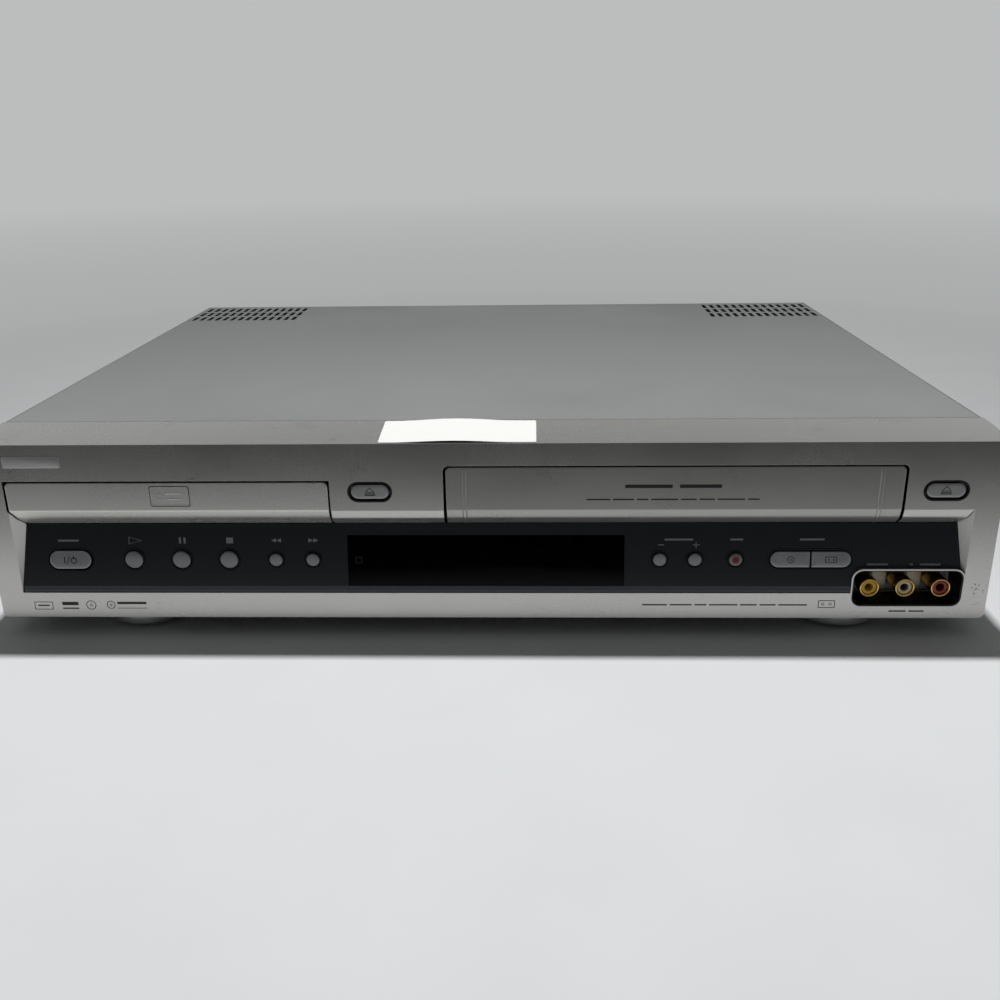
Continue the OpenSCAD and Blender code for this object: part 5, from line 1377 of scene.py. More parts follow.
@dataclass
class Printer:
    """Adds printed signs to a shape as thin closed forms, sunk a little into their face.

    hair, thin and bold are the widths of the drawn lines, and bar that of the filled ones.
    """

    shape: Shape
    thickness: float = 0.045
    sink: float = 0.05
    hair: float = 0.2
    thin: float = 0.3
    bold: float = 0.42
    bar: float = 0.45

    def _fill(self, outline: Outline, place: Place) -> None:
        """Adds a filled form."""
        self.shape.loft(outline, box_levels(-self.sink, self.thickness), place)

    def _line(self, outline: Outline, width: float, place: Place) -> None:
        """Adds an outline drawn with a line."""
        top, foot = self.thickness, -self.sink
        section = ((0.0, foot), (0.0, top), (width, top), (width, foot))
        self.shape.ring(outline, section, place)

    def _words(self, mark: Mark, at: Callable[[float, float], Place]) -> None:
        """Adds a row of short strips: their lengths vary by a sine, with even gaps between."""
        gap = 2.0 * mark.height
        count = max(1, round(mark.width / (14.0 * mark.height + gap)))
        shares = 1.0 + 0.45 * np.sin(2.3 * np.arange(count) + 0.6)
        lengths = shares / shares.sum() * (mark.width - gap * (count - 1))
        starts = np.concatenate([[0.0], np.cumsum(lengths + gap)[:-1]]) - mark.width / 2
        for start, length in zip(starts, lengths):
            strip = round_rect(float(length), mark.height, 0.08, 2)
            self._fill(strip, at(mark.x + float(start + length / 2), mark.z))

    def draw(self, mark: Mark, at: Callable[[float, float], Place]) -> None:
        """Draws one sign.

        Args:
            mark: The sign, its place and its size.
            at: Gives the place on the carrying face from a place across and up.
        """
        w, h, sign = mark.width, mark.height, mark.sign
        place = at(mark.x, mark.z)
        triangle = polygon([(-w / 2, -h / 2), (w / 2, 0.0), (-w / 2, h / 2)])
        if sign is Sign.PLAY:
            self._line(triangle, 0.36, place)
        elif sign is Sign.PAUSE:
            for side in (-1, 1):
                self._fill(round_rect(w * 0.3, h, 0.05, 2), at(mark.x + side * w * 0.32, mark.z))
        elif sign in (Sign.STOP, Sign.BAR):
            self._fill(round_rect(w, h, 0.06, 2), place)
        elif sign in (Sign.REWIND, Sign.FORWARD):
            point = -w / 4 if sign is Sign.REWIND else w / 4
            for side in (-1, 1):
                small = polygon([(-point, -h / 2), (point, 0.0), (-point, h / 2)])
                self._fill(small, at(mark.x + side * w / 4, mark.z))
        elif sign in (Sign.MINUS, Sign.PLUS):
            self._fill(round_rect(w, 0.35, 0.05, 2), place)
            if sign is Sign.PLUS:
                self._fill(round_rect(0.35, h, 0.05, 2), place)
        elif sign is Sign.DOT:
            self._fill(circle(w, 40), place)
        elif sign is Sign.EJECT:
            cone = polygon([(-w / 2, 0.0), (w / 2, 0.0), (0.0, h * 0.62)])
            self._line(cone, self.bold, at(mark.x, mark.z - h * 0.12))
            self._line(round_rect(w, h * 0.26, 0.05, 2), 0.34, at(mark.x, mark.z - h * 0.36))
        elif sign is Sign.WORDS:
            self._words(mark, at)
        elif sign is Sign.STANDBY:
            self._fill(round_rect(self.bar, h * 0.8, 0.05, 2), at(mark.x - w * 0.44, mark.z))
            slash = polygon([(-0.7, -h / 2), (-0.4, -h / 2), (0.7, h / 2), (0.4, h / 2)])
            self._fill(slash, at(mark.x - w * 0.14, mark.z))
            right = mark.x + w * 0.3
            self._line(circle(h * 0.8, 40), self.bold, at(right, mark.z - h * 0.06))
            self._fill(round_rect(self.bar, h * 0.42, 0.05, 2), at(right, mark.z + h * 0.28))
        elif sign is Sign.DISC:
            self._line(circle(h, 48), self.thin, place)
            self._line(circle(h * 0.3, 24), self.hair, place)
        elif sign is Sign.CASSETTE:
            self._line(round_rect(w, h, 0.3, 4), self.thin, place)
            for side in (-1, 1):
                self._line(circle(h * 0.36, 24), self.hair, at(mark.x + side * w * 0.22, mark.z))
        elif sign is Sign.FRAME:
            self._line(round_rect(w, h, 0.3, 4), 0.26, place)


@dataclass
class Controls(SubAssembly):
    """The smoked panel with its window, the buttons in their seats and the printed signs.

    Each button stands proud of its place, a long one by long_share of that, and is kept by a
    collar behind the panel; its stem reaches back to a switch. half_gap is half the gap between
    the two source buttons, and seat_room how much wider a seat is than its button. The seats are
    near black, painted shade for the gaps round the buttons; seat_section and the eject seats'
    section are their sections, in points of inset and height. The lip runs up from the recess's
    lower edge over a crest, and down again over its fall.
    """

    button_z: float = 26.6
    proud: float = 1.1
    long_share: float = 0.7
    big: float = 8.0
    small: float = 5.8
    panel_thickness: float = 2.5
    board_depth: float = 19.0
    switch_reach: float = 4.1
    collar: float = 1.5
    collar_thickness: float = 1.2
    stem_diameter: float = 3.6
    half_gap: float = 0.3
    seam_radius: float = 0.35
    seat_room: float = 2.5
    window_depth: float = 2.4
    sensor: Mark = Mark(Sign.FRAME, -55.0, 26.4, 2.8, 2.8)
    eject_gap: float = 0.3
    eject_inset: float = 0.6
    power_slim: float = 0.9
    edge_shadow_width: float = 0.5
    edge_shadow_end: float = 0.42
    round_places: dict[str, float] = field(default_factory=lambda: {
        "play_button": -153.6, "pause_button": -132.6, "stop_button": -111.7,
        "rewind_button": -91.1, "forward_button": -75.0, "channel_down_button": 74.9,
        "channel_up_button": 90.0, "record_button": 107.3,
    })
    big_ones: tuple[str, ...] = ("play_button", "pause_button", "stop_button")
    panel_marks: tuple[Mark, ...] = (
        Mark(Sign.PLAY, -152.6, 35.0, 6.0, 3.3), Mark(Sign.PAUSE, -132.0, 35.0, 3.2, 2.7),
        Mark(Sign.STOP, -111.2, 35.0, 3.0, 2.6), Mark(Sign.REWIND, -90.9, 35.0, 4.4, 1.9),
        Mark(Sign.FORWARD, -74.6, 35.0, 4.4, 1.9), Mark(Sign.MINUS, 75.4, 32.9, 2.6, 0.4),
        Mark(Sign.PLUS, 90.4, 32.9, 2.8, 2.8), Mark(Sign.WORDS, 83.0, 35.2, 12.2, 0.8),
        Mark(Sign.WORDS, 107.6, 35.2, 5.4, 0.8), Mark(Sign.WORDS, 139.6, 35.2, 10.4, 0.8),
        Mark(Sign.WORDS, -182.2, 35.0, 9.2, 0.8), Mark(Sign.WORDS, 167.6, 24.4, 8.8, 0.75),
        Mark(Sign.WORDS, 182.0, 24.4, 1.2, 0.75), Mark(Sign.WORDS, 190.0, 24.4, 8.6, 0.75),
    )
    lip_start: float = 0.3
    lip_height: float = 2.7
    lip_crest: float = 0.8
    lip_fall: float = 1.9
    lip_rise: float = 0.42
    lip_right: float = 156.6
    seat_section: Levels = (
        (0.0, -0.15), (0.0, 0.03), (0.14, 0.2), (0.3, 0.24), (0.5, 0.16), (0.8, -0.2), (0.9, -0.6),
        (0.3, -0.6),
    )
    eject_shade_section: Levels = (
        (0.0, -0.4), (0.0, 0.04), (0.1, 0.1), (0.5, 0.06), (0.62, -0.1), (0.62, -0.4),
    )

    def build(self) -> None:
        """Makes the panel's pieces and all the buttons."""
        self.dress_all({
            "control_panel": Paint.PANEL, "display_tube": Paint.TUBE, "front_board": Paint.BOARD,
        })
        self._lip()
        self._panel_edge_shadow()
        self._window()
        self._seats()
        for node, x in self.round_places.items():
            self._round_button(node, x)
        self._long_buttons()
        self._eject_buttons()
        signs = self.shape()
        printer = Printer(signs)
        for mark in self.panel_marks:
            printer.draw(mark, self.recess.on_floor)
        self.put(signs.build("panel_signs"), Paint.PRINT, "chassis", "insert_white")

    def _lip(self) -> None:
        """Adds the raised strip along the panel's lower edge: a wedge with a round crest and
        painted highlight.

        Its rise is a square root up to the crest and a straight slope down from it.
        """
        left = 0.9 - self.recess.half_width
        along = np.array([0.0, 0.05, 0.2, 0.45, 0.8, 1.2, 1.8, self.lip_height])
        crest = np.sqrt(np.clip(along / self.lip_crest, 0, 1))
        rise = self.lip_rise * crest * np.clip((self.lip_height - along) / self.lip_fall, 0, 1)
        place = self.recess.on_floor(0.0, self.recess.low + self.lip_start)
        x, v = np.meshgrid(np.linspace(left, self.lip_right, 40), along)
        top = np.stack([x, v, np.broadcast_to(rise[:, None], x.shape)], axis=-1)
        under = np.stack([x, v, np.full_like(x, -0.2)], axis=-1)
        lip = self.shape().sheet(place(top), place(under)).build("panel_lip", 60)
        # The lip's lighter paint is a painted highlight.
        self.put(lip, Paint.LIP_PAINTED_HIGHLIGHT, "chassis", "panel_smoke")

    def _panel_edge_shadow(self) -> None:
        """Lines the panel's edges with painted shadow, from over the sockets round to the lip's
        end.

        The strip lies between the path along the panel's edge and the same path drawn in.
        """
        recess = self.recess
        wide = recess.half_width - 0.15
        narrow = wide - recess.side_slant
        up = math.hypot(recess.floor_top - recess.low, recess.depth) - 0.1
        start = (wide - self.edge_shadow_end * recess.side_slant, up * self.edge_shadow_end)
        path = polygon([
            start, (narrow, up), (-narrow, up), (0.06 - wide, 2.0), (1.6 - wide, 0.15),
            (self.lip_right, 0.15),
        ])
        edges = np.stack([path(0.0), path(self.edge_shadow_width)])
        place = recess.on_floor(0.0, recess.low)
        front, back = (
            place(np.concatenate([edges, np.full((*edges.shape[:2], 1), lift)], axis=-1))
            for lift in (0.04, -0.3)
        )
        # A dark strip of painted shadow where the panel meets the recess.
        seam = self.shape().sheet(front, back).build("panel_seam", 60)
        self.put(seam, Paint.GAP_SHADE_SHEET, "chassis", "panel_smoke")

    def _window(self) -> None:
        """Makes the window: a slab in the slanted floor with soft edges, and a sensor's mark."""
        low, high = self.deck.span("display_window")
        middle = (low[2] + high[2]) / 2
        slope = self.recess.depth / (self.recess.floor_top - self.recess.low)
        rise = (high[2] - low[2]) * math.hypot(1.0, slope)
        place = self.recess.on_floor((low[0] + high[0]) / 2, middle, 0.0)
        outline = round_rect(high[0] - low[0], rise, 0.5)
        slab = self.shape().loft(outline, plate(self.window_depth, 0.25), place)
        piece = slab.build("window_slab")
        self.put(piece, Paint.WINDOW, "chassis", "window_black", "display_window")
        sensor = self.shape()
        Printer(sensor).draw(self.sensor, self.recess.on_floor)
        self.put(sensor.build("sensor_mark"), Paint.DARK_PRINT, "chassis", "window_black")

    def _seats(self) -> None:
        """Rings the buttons with low dished seats, near black as painted shade in their holes."""
        shade_seats = self.shape()
        for node, x in self.round_places.items():
            outline = circle(self._diameter(node) + self.seat_room, 96)
            shade_seats.ring(outline, self.seat_section, self.recess.on_floor(x, self.button_z))
        for node in ("power_button", "disc_source_button"):
            x, width, height = self._long_size(node)
            outline = stadium(width + self.seat_room, height + self.seat_room)
            shade_seats.ring(outline, self.seat_section, self.recess.on_floor(x, self.button_z))
        self.put(shade_seats.build("button_seats"), Paint.SEAT_SHADE, "chassis", "panel_smoke")

    def _diameter(self, node: str) -> float:
        """Gives a round button's diameter."""
        return self.big if node in self.big_ones else self.small

    def _long_size(self, node: str) -> tuple[float, float, float]:
        """Works out a long button's size from its box, without its collar.

        Args:
            node: The power button, or the left one of the pair.

        Returns:
            The middle of the button or of the whole pair, its width and its height.
        """
        low, high = self.deck.span(node)
        height = high[2] - low[2] - 2 * self.collar
        if node == "power_button":
            slim = self.power_slim
            return (low[0] + high[0]) / 2, high[0] - low[0] - 2 * self.collar - slim, height - slim
        left = low[0] + self.collar
        seam = high[0] + self.half_gap
        return seam, 2 * (seam - left), height

    def _round_button(self, node: str, x: float) -> None:
        """Turns a round button: stem, collar, straight side, round shoulder and a low dome.

        The shoulder is a quarter round, and the dome sinks with the square of the radius.

        Args:
            node: The button's CAD node.
            x: Its place across.
        """
        diameter = self._diameter(node)
        face = self.recess.y(self.button_z) - self.proud
        collar = self.recess.y(self.button_z) + self.panel_thickness + self.collar - face
        stem = self.board_depth - self.switch_reach - face
        radius = diameter / 2
        shoulder, dome, wide = 0.17 * radius, 0.1 * radius, self.collar
        turn = np.linspace(0, math.pi / 2, 8)
        edge = [
            (shoulder * (1 - math.cos(a)), shoulder * (math.sin(a) - 1) - dome * 0.7) for a in turn
        ]
        crown = [(radius * (1 - s), -dome * s**2) for s in np.linspace(0.8, 0.02, 12)]
        to_stem, behind = radius - self.stem_diameter / 2, -collar - self.collar_thickness
        levels = [
            (to_stem, -stem), (to_stem, behind), (-wide, behind), (-wide, -collar), (0.0, -collar),
            *edge, *crown,
        ]
        place = facing_front(x, face, self.button_z)
        button = self.shape().loft(circle(diameter, 72), levels, place)
        piece = button.build(node + "_cap", 45)
        record = node == "record_button"
        spot = self.deck.to_frame(np.array([x, 0.0, self.button_z]))
        paint = Paint.RECORD if record else Paint.ROUND_BUTTON
        slot = "record_red" if record else "button_grey"
        self.put(piece, paint, node, slot, node, spot=(float(spot[0]), float(spot[2])))

    def _long_buttons(self) -> None:
        """Makes the power button and the pair of source buttons, crowned and split by a seam."""
        x, width, height = self._long_size("power_button")
        self._long_button("power_button", (x - width / 2, x + width / 2), height, (height / 2,) * 4)
        x, width, height = self._long_size("disc_source_button")
        end, seam, gap = height / 2, self.seam_radius, self.half_gap
        left, right = (x - width / 2, x - gap), (x + gap, x + width / 2)
        self._long_button("disc_source_button", left, height, (seam, end, end, seam))
        self._long_button("tape_source_button", right, height, (end, seam, seam, end))
        z = self.button_z
        for node, mark in (
            ("power_button", Mark(Sign.STANDBY, -181.9, z, 5.4, 3.6)),
            ("disc_source_button", Mark(Sign.DISC, x - width / 4, z, 3.0, 3.0)),
            ("tape_source_button", Mark(Sign.CASSETTE, x + width / 4, z, 5.0, 2.7)),
        ):
            self._button_sign(node, mark)

    def _long_button(
        self, node: str, sides: Pair, height: float, radii: tuple[float, ...]
    ) -> None:
        """Makes one long button parallel to the slanted floor, with its collar and stem behind.

        Args:
            node: The button's CAD node.
            sides: Its left and its right side.
            height: Its height up the slanted floor.
            radii: The radii of its four corners, from the upper right one.
        """
        middle = (sides[0] + sides[1]) / 2
        half = (sides[1] - sides[0]) / 2
        lift = self.proud * self.long_share
        outline = corners((-half, half, -height / 2, height / 2), radii)
        levels = plate(self.panel_thickness + 1.6 + lift, 0.55, lift - 0.08)
        levels += [(1.2, lift - 0.03), (2.2, lift)]
        back = self.recess.y(self.button_z) + self.panel_thickness + 3.4
        button = self.shape().loft(outline, levels, self.recess.on_floor(middle, self.button_z))
        reach = height / 2 + self.collar
        thickness = self.collar_thickness
        flange = facing_front(middle, back - thickness, self.button_z)
        collar = corners((-half, half, -reach, reach), (0.4,) * 4)
        button.loft(collar, box_levels(-thickness, 0.0), flange)
        stem = self.board_depth - self.switch_reach
        behind = facing_front(middle, back, self.button_z)
        button.loft(circle(self.stem_diameter, 36), box_levels(back - stem, 0.1), behind)
        self.put(button.build(node + "_cap", 45), Paint.BUTTON, node, "button_grey", node)

    def _button_sign(self, node: str, mark: Mark) -> None:
        """Prints a long button's sign on its crowned face."""
        sign = self.shape()
        lift = self.proud * self.long_share + 0.01
        Printer(sign).draw(mark, lambda x, z: self.recess.on_floor(x, z, lift))
        self.put(sign.build(node + "_sign"), Paint.DARK_PRINT, node, "window_black")

    def _eject_buttons(self) -> None:
        """Makes the two eject buttons with signs, and rings of painted shade in the bezel's face.
        """
        shade_seats = self.shape()
        for node in ("disc_eject_button", "tape_eject_button"):
            low, high = self.deck.span(node)
            x, z, face = (low[0] + high[0]) / 2, (low[2] + high[2]) / 2, low[1]
            wide = 2 * (self.collar + self.eject_inset)
            width, height = high[0] - low[0] - wide, high[2] - low[2] - wide
            place = facing_front(x, face, z)
            levels = [*plate(3.0, 0.6), (1.4, 0.0)]
            button = self.shape().loft(stadium(width, height), levels, place)
            collar = stadium(width + wide, height + wide)
            button.loft(collar, box_levels(-2.8 - self.collar_thickness, -2.8), place)
            button.loft(circle(self.stem_diameter, 36), box_levels(face - high[1], -3.0), place)
            self.put(button.build(node + "_cap", 45), Paint.EJECT, node, "eject_silver", node)
            sign = self.shape()
            mark = Mark(Sign.EJECT, x, z + 0.2, 4.2, 3.8)
            Printer(sign).draw(mark, lambda a, b, y=face: facing_front(a, y, b))
            self.put(sign.build(node + "_sign"), Paint.DARK_PRINT, node, "window_black")
            # A dark ring of painted shade in the gap round the button.
            grow = 2 * (self.eject_gap + self.eject_inset) + 1.0
            outline = stadium(width + grow, height + grow)
            shade_seats.ring(outline, self.eject_shade_section, facing_front(x, 0.0, z))
        self.put(shade_seats.build("eject_seats"), Paint.GAP_SHADE_SHEET, "chassis", "window_black")


@dataclass
class Sockets(SubAssembly):
    """The front jack recess and the sockets, tuner and blocks at the back.

    The cup's and the rear panel's places come from their nodes' boxes. Each socket is a pair of
    its open end's place and its shell's length.
    """

    cup_wall: float = 1.2
    cup_depth: float = 12.0
    cup_base: float = 1.5
    corner: float = 4.0
    tin_width: float = 6.0
    shell_diameter: float = 8.3
    shell_wall: float = 0.8
    rear_length: float = 9.0
    front_mouth: float = 0.5
    base: float = 1.2
    bore: float = 3.4
    pitch: float = 15.1
    front_shift: float = -0.8
    rear_first_x: float = 80.0
    rear_pitch: float = 14.0
    rear_heights: Pair = (24.0, 40.0)
    cup_x: float = field(init=False)
    cup_z: float = field(init=False)
    cup_size: Pair = field(init=False)
    rear_y: float = field(init=False)

    def __post_init__(self) -> None:
        """Reads the cup's middle and size and the rear panel's depth."""
        low, high = self.deck.span("jack_cup")
        self.cup_x, self.cup_z = (low[0] + high[0]) / 2, (low[2] + high[2]) / 2
        self.cup_size = (high[0] - low[0], high[2] - low[2])
        self.rear_y = self.deck.span("rear_panel")[1][1]

    def build(self) -> None:
        """Makes the sockets and dresses what carries them."""
        self._cup()
        self._shells()
        for node, slot, paint, index in (
            ("yellow_jack_inserts", "insert_yellow", Paint.YELLOW, 0),
            ("white_jack_inserts", "insert_white", Paint.IVORY, 1),
            ("red_jack_inserts", "insert_red", Paint.RED, 2),
        ):
            self._inserts(node, slot, paint, index)
        self.dress_all({
            "rear_jack_blocks": Paint.BLOCK, "tuner": Paint.TUNER, "circuit_boards": Paint.BOARD,
            "power_parts": Paint.POWER,
        })

    def _cup(self) -> None:
        """Makes the black cup with a thin soft lip, a rounded foot and the tinned plates."""
        wall, depth = self.cup_wall, self.cup_depth
        width, height = self.cup_size
        place = facing_front(self.cup_x, 0.0, self.cup_z)
        levels = [
            (0.0, -depth - self.cup_base), (0.0, -0.6), (0.06, -0.42), (0.2, -0.34),
            (0.38, -0.42), (0.5, -0.7), (0.7, -1.6), (wall, -3.2), (wall, -depth + 1.0),
            (wall + 0.3, -depth + 0.3), (wall + 1.0, -depth),
        ]
        cup = self.shape().loft(round_rect(width, height, self.corner), levels, place)
        block = facing_front(self.cup_x, depth + self.cup_base, self.cup_z)
        cup.loft(round_rect(40.0, height - 4.0, 0.4, 3), box_levels(-2.5, 0.1), block)
        self.put(cup.build("jack_cup_shell"), Paint.CUP, "chassis", "cup_black", "jack_cup")
        tin = self.shape()
        for side in (-0.5, 0.5):
            x = self.cup_x + self.front_shift + side * self.pitch
            back = facing_front(x, depth, self.cup_z)
            tin.loft(round_rect(self.tin_width, height - 4.4, 0.3, 3), box_levels(-0.1, 0.12), back)
        self.put(tin.build("jack_cup_plates"), Paint.TIN, "chassis", "jack_gold")

    def _front(self, index: int) -> tuple[Place, float]:
        """Gives a front socket."""
        x = self.cup_x + self.front_shift + (index - 1) * self.pitch
        return facing_front(x, self.front_mouth, self.cup_z), self.cup_depth - self.front_mouth

    def _rear(self, index: int, z: float) -> tuple[Place, float]:
        """Gives a rear socket."""
        x = self.rear_first_x + index * self.rear_pitch
        return facing_back(x, self.rear_y + self.rear_length, z), self.rear_length

    def _column(self, index: int) -> list[tuple[Place, float]]:
        """Gives the three sockets of one colour."""
        return [self._front(index), *(self._rear(index, z) for z in self.rear_heights)]

    def _shells(self) -> None:
        """Turns the nine shells: a tube with a rolled lip, closed at its base."""
        wall = self.shell_wall
        shells = self.shape()
        for place, length in (socket for index in range(3) for socket in self._column(index)):
            levels = [
                (0.0, -length), (0.0, -0.5), (0.1, -0.18), (0.3, -0.02), (0.5, -0.02), (0.7, -0.18),
                (wall, -0.5), (wall, -length + self.base),
            ]
            shells.loft(circle(self.shell_diameter, 80), levels, place)
        self.put(shells.build("socket_shells"), Paint.GOLD, "chassis", "jack_gold", "jack_shells")

    def _inserts(self, node: str, slot: str, paint: Paint, index: int) -> None:
        """Turns one colour's insulators: a plug with a soft rim round the contact's bore."""
        diameter = self.shell_diameter - 2 * self.shell_wall - 0.1
        bore = (diameter - self.bore) / 2
        inserts = self.shape()
        for place, length in self._column(index):
            foot = self.base - length
            levels = [
                (0.0, foot), (0.0, -1.25), (0.1, -0.95), (0.35, -0.8), (bore - 0.35, -0.8),
                (bore - 0.1, -0.95), (bore, -1.3), (bore, foot + self.base),
            ]
            inserts.loft(circle(diameter, 72), levels, place)
        self.put(inserts.build(node.replace("jack", "socket")), paint, "chassis", slot, node)


@dataclass
class Badges(SubAssembly):
    """What the bezel's face carries: a plain badge plate and the small printed signs."""

    plate_middle: Pair = (-190.6, 72.2)
    plate_size: Pair = (24.6, 5.0)
    plate_rise: float = 0.3
    bezel_marks: tuple[Mark, ...] = (
        Mark(Sign.FRAME, -196.2, 5.6, 8.2, 3.8), Mark(Sign.BAR, -196.2, 5.7, 5.2, 0.6),
        Mark(Sign.BAR, -184.2, 6.6, 7.2, 1.6), Mark(Sign.BAR, -184.2, 4.3, 7.2, 0.6),
        Mark(Sign.DISC, -174.9, 5.9, 4.4, 4.4), Mark(Sign.DISC, -166.0, 6.0, 3.8, 3.8),
        Mark(Sign.WORDS, -156.6, 6.9, 13.0, 1.1), Mark(Sign.BAR, -156.6, 4.4, 13.0, 0.25),
        Mark(Sign.WORDS, 103.4, 6.3, 71.0, 0.6), Mark(Sign.CASSETTE, 147.2, 6.7, 7.2, 3.6),
        Mark(Sign.WORDS, 181.6, 3.4, 15.0, 0.6),
    )
    door_marks: tuple[Mark, ...] = (
        Mark(Sign.WORDS, 79.0, 60.9, 40.0, 1.5), Mark(Sign.WORDS, 79.0, 55.1, 72.0, 0.6),
    )

    def build(self) -> None:
        """Makes the badge plate and prints the signs on the bezel and on the cassette door."""
        badge = self.shape()
        place = facing_front(self.plate_middle[0], 0.0, self.plate_middle[1])
        badge.loft(round_rect(*self.plate_size, 0.8), plate(0.5, 0.25, self.plate_rise), place)
        self.put(badge.build("badge_plate"), Paint.BADGE, "chassis", "eject_silver")
        for name, marks, body in (
            ("bezel_signs", self.bezel_marks, "chassis"),
            ("door_signs", self.door_marks, "cassette_door"),
        ):
            signs = self.shape()
            for mark in marks:
                Printer(signs).draw(mark, lambda x, z: facing_front(x, 0.0, z))
            self.put(signs.build(name), Paint.DARK_PRINT, body, "window_black")


# ---- Studio ----


@dataclass(frozen=True)
class View:
    """The camera: its place in metres, its turns in radians and its focal length."""

    place: tuple[float, float, float] = (0.02025, -0.567, 0.2107)
    turn: float = -0.034
    down: float = 0.353
    roll: float = -0.014
    lens: float = 36.37

    def build(self) -> None:
        """Sets the camera up.

        It looks along the turned and lowered forward direction; its right and up directions are
        rolled about that.
        """
        turn, down, roll = self.turn, self.down, self.roll
        level = math.cos(down)
        ahead = Vector((math.sin(turn) * level, math.cos(turn) * level, -math.sin(down)))
        right = Vector((math.cos(turn), -math.sin(turn), 0.0))
        up = right.cross(ahead)
        right, up = (
            math.cos(roll) * right + math.sin(roll) * up,
            -math.sin(roll) * right + math.cos(roll) * up,
        )
        data = bpy.data.cameras.new("camera")
        data.lens = self.lens
        data.sensor_width = 36.0
        data.clip_start = 0.01
        camera = linked("camera", data)
        camera.matrix_world = Matrix((
            (right.x, up.x, -ahead.x, self.place[0]),
            (right.y, up.y, -ahead.y, self.place[1]),
            (right.z, up.z, -ahead.z, self.place[2]),
            (0.0, 0.0, 0.0, 1.0),
        ))
        bpy.context.scene.camera = camera


@dataclass(frozen=True)
class Lamp:
    """A square soft lamp: its place, what it points at, its size and its power."""

    name: str
    place: tuple[float, float, float]
    target: tuple[float, float, float]
    size: float
    power: float

    def build(self) -> None:
        """Adds the lamp."""
        data = bpy.data.lights.new(self.name, "AREA")
        data.size = self.size
        data.energy = self.power
        lamp = linked(self.name, data)
        lamp.visible_glossy = False
        lamp.location = self.place
        aim = Vector(self.target) - Vector(self.place)
        lamp.rotation_euler = aim.to_track_quat("-Z", "Y").to_euler()


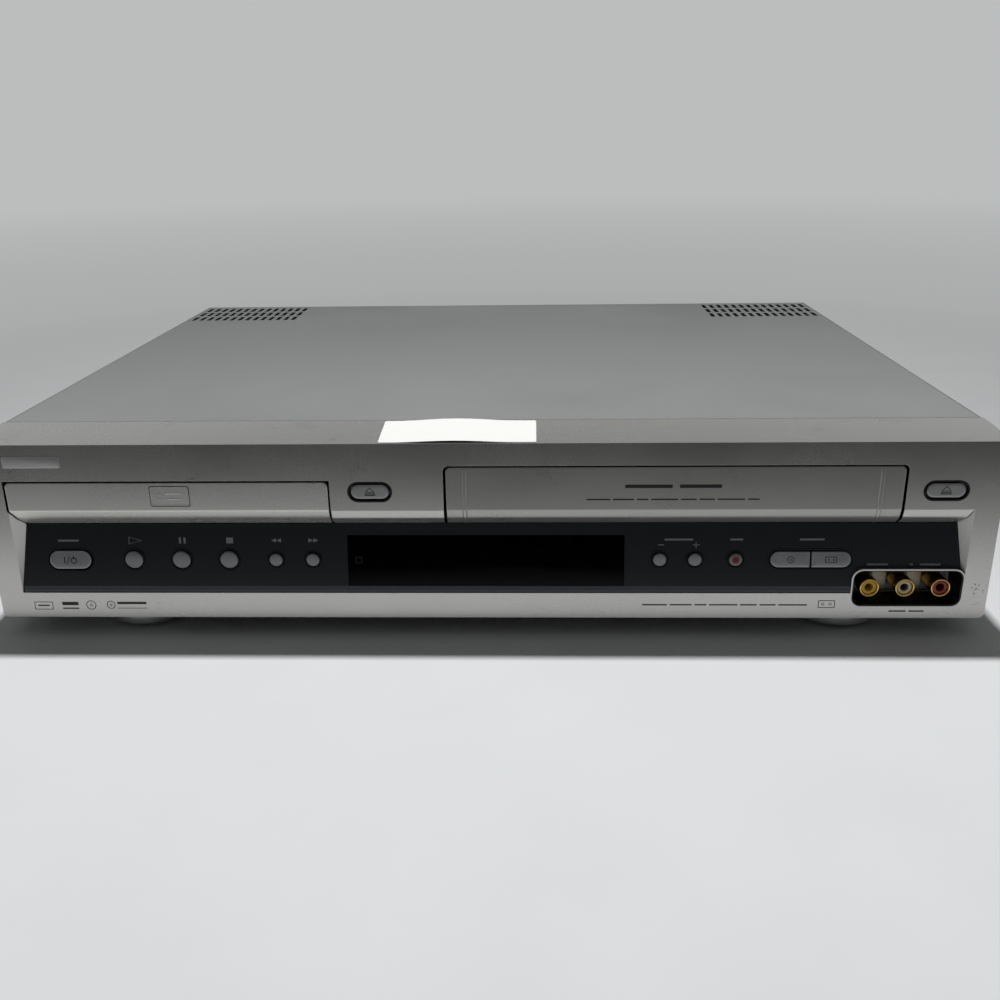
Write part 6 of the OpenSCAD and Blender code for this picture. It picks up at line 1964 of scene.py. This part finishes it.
@dataclass(frozen=True)
class Studio:
    """The pale floor, the pale surroundings and the soft lamps.

    The room is dim on the front's side. fade is where the floor takes on the surroundings' colour
    for the camera, as a distance from the middle; dim is where it stops lighting the deck, as a
    place in front of it; shade is where it turns to a deeper grey towards the back, painted shade,
    and shade_level how deep. glow_levels are the floor's own light at the distances of glow_reach.
    """

    floor_colour: Colour = (228, 230, 231)
    backdrop: Colour = (188, 190, 190)
    floor_radius: float = 3.0
    floor_drop: float = 0.0001
    fade: Pair = (0.42, 0.85)
    dim: Pair = (-0.40, -0.24)
    shade: Pair = (-0.19, 0.1)
    shade_level: float = 0.58
    glow_reach: Pair = (0.4, 2.9)
    glow_levels: Pair = (0.76, 1.0)
    lamps: tuple[Lamp, ...] = (
        Lamp("overhead_lamp", (0.0, 0.165, 1.6), (0.0, 0.0, 0.0), 0.09, 24.8),
        Lamp("front_fill", (0.2, -1.4, 1.0), (0.0, 0.0, 0.05), 1.0, 0.1),
    )

    def build(self) -> None:
        """Makes the surroundings."""
        self._world()
        self._floor()
        for lamp in self.lamps:
            lamp.build()
        bpy.context.scene.view_settings.view_transform = "Standard"

    def _world(self) -> None:
        """Lights softly, pale to the camera, and in glossy surfaces pale behind, low and overhead.

        What glossy surfaces see is the product of a ramp towards the back, a ramp up from the
        floor, and a ramp that falls again higher up, with a little more overhead. All else is lit
        by a ramp that grows towards the top.
        """
        world = bpy.data.worlds.new("surroundings")
        world.cycles.sampling_method = "NONE"
        bpy.context.scene.world = world
        net = Net(world)
        direction = net.add("TexCoord").outputs["Generated"]
        parts = net.add("SeparateXYZ", {0: direction})
        back, up = parts.outputs["Y"], parts.outputs["Z"]
        behind = net.ramp(back, -0.25, 0.35, 0.6, 1.0)
        rise = net.ramp(up, 0.14, 0.30, 0.05, 1.9)
        fall = net.ramp(up, 0.32, 0.44, 1.0, 0.15)
        zenith = net.math("ADD", fall, net.ramp(up, 0.62, 0.9, 0.0, 0.45))
        mirrored = net.math("MULTIPLY", behind, net.math("MULTIPLY", rise, zenith))
        soft = net.ramp(up, 0.25, 0.9, 0.0, 0.3)
        rays = net.add("LightPath").outputs
        seen = net.math("MAXIMUM", rays["Is Camera Ray"], rays["Is Transmission Ray"])
        extra = net.math("SUBTRACT", mirrored, soft)
        strength = net.math("ADD", soft, net.math("MULTIPLY", extra, rays["Is Glossy Ray"]))
        unseen = net.math("SUBTRACT", 1.0, seen)
        level = net.math("ADD", net.math("MULTIPLY", strength, unseen), seen)
        shader = net.add("Background", {"Color": linear(self.backdrop), "Strength": level})
        net.add("OutputWorld", {"Surface": shader.outputs[0]})

    def _floor(self) -> None:
        """Lays a round floor whose far part takes on the surroundings' colour for the camera."""
        turn = np.linspace(0, 2 * math.pi, 128, endpoint=False)
        rim = self.floor_radius * np.stack([np.cos(turn), np.sin(turn), 0 * turn], 1)
        mesh = bpy.data.meshes.new("floor")
        mesh.from_pydata((rim - [0, 0, self.floor_drop]).tolist(), [], [list(range(len(rim)))])
        mesh.materials.append(self._floor_material())
        linked("floor", mesh)

    def _floor_material(self) -> bpy.types.Material:
        """Makes the floor's matt paint, faintly mottled, dim far in front, with painted shade at
        the back.
        """
        made = bpy.data.materials.new("floor_pale")
        net = Net(made)
        place = net.add("TexCoord").outputs["Object"]
        seen = net.add("LightPath").outputs["Is Camera Ray"]
        depth = net.add("SeparateXYZ", {0: place}).outputs["Y"]
        near = net.math("MAXIMUM", net.ramp(depth, *self.dim, 0.01, 1.0), seen)
        mottled = net.ramp(net.noise(place, 60.0, 3.0), 0.3, 0.7, 0.985, 1.015)
        # Painted shade: the floor turns a deeper grey towards the back.
        painted_shade_behind = net.ramp(depth, *self.shade, 1.0, self.shade_level)
        value = net.math("MULTIPLY", near, net.math("MULTIPLY", mottled, painted_shade_behind))
        tint = {"Value": value, "Color": linear(self.floor_colour)}
        colour = net.add("HueSaturation", tint).outputs[0]
        relief = {"Strength": 0.4, "Distance": 0.00003, "Height": net.noise(place, 1.2, 2.0)}
        bump = net.add("Bump", relief).outputs[0]
        matt = net.add("BsdfPrincipled", {"Base Color": colour, "Roughness": 0.6, "Normal": bump})
        distance = net.add("VectorMath", {0: place}, operation="LENGTH").outputs["Value"]
        strength = net.ramp(distance, *self.glow_reach, *self.glow_levels)
        glow = net.add("Emission", {"Color": linear(self.backdrop), "Strength": strength})
        share = net.math("MULTIPLY", net.ramp(distance, *self.fade), seen)
        mixed = net.add("MixShader", {0: share, 1: matt.outputs[0], 2: glow.outputs[0]})
        net.add("OutputMaterial", {"Surface": mixed.outputs[0]})
        return made


def main() -> None:
    """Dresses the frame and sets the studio."""
    logging.basicConfig(level=logging.INFO, format="%(name)s: %(message)s")
    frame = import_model()
    deck = Deck.from_bezel()
    View().build()
    Studio().build()
    for assembly in (Cabinet, DiscDrive, TapeDeck, Controls, Sockets, Badges):
        assembly(deck, frame["nodes"]).build()
        LOG.info("%s is done", assembly.__name__)
    bpy.context.view_layer.update()


if __name__ == "__main__":
    main()
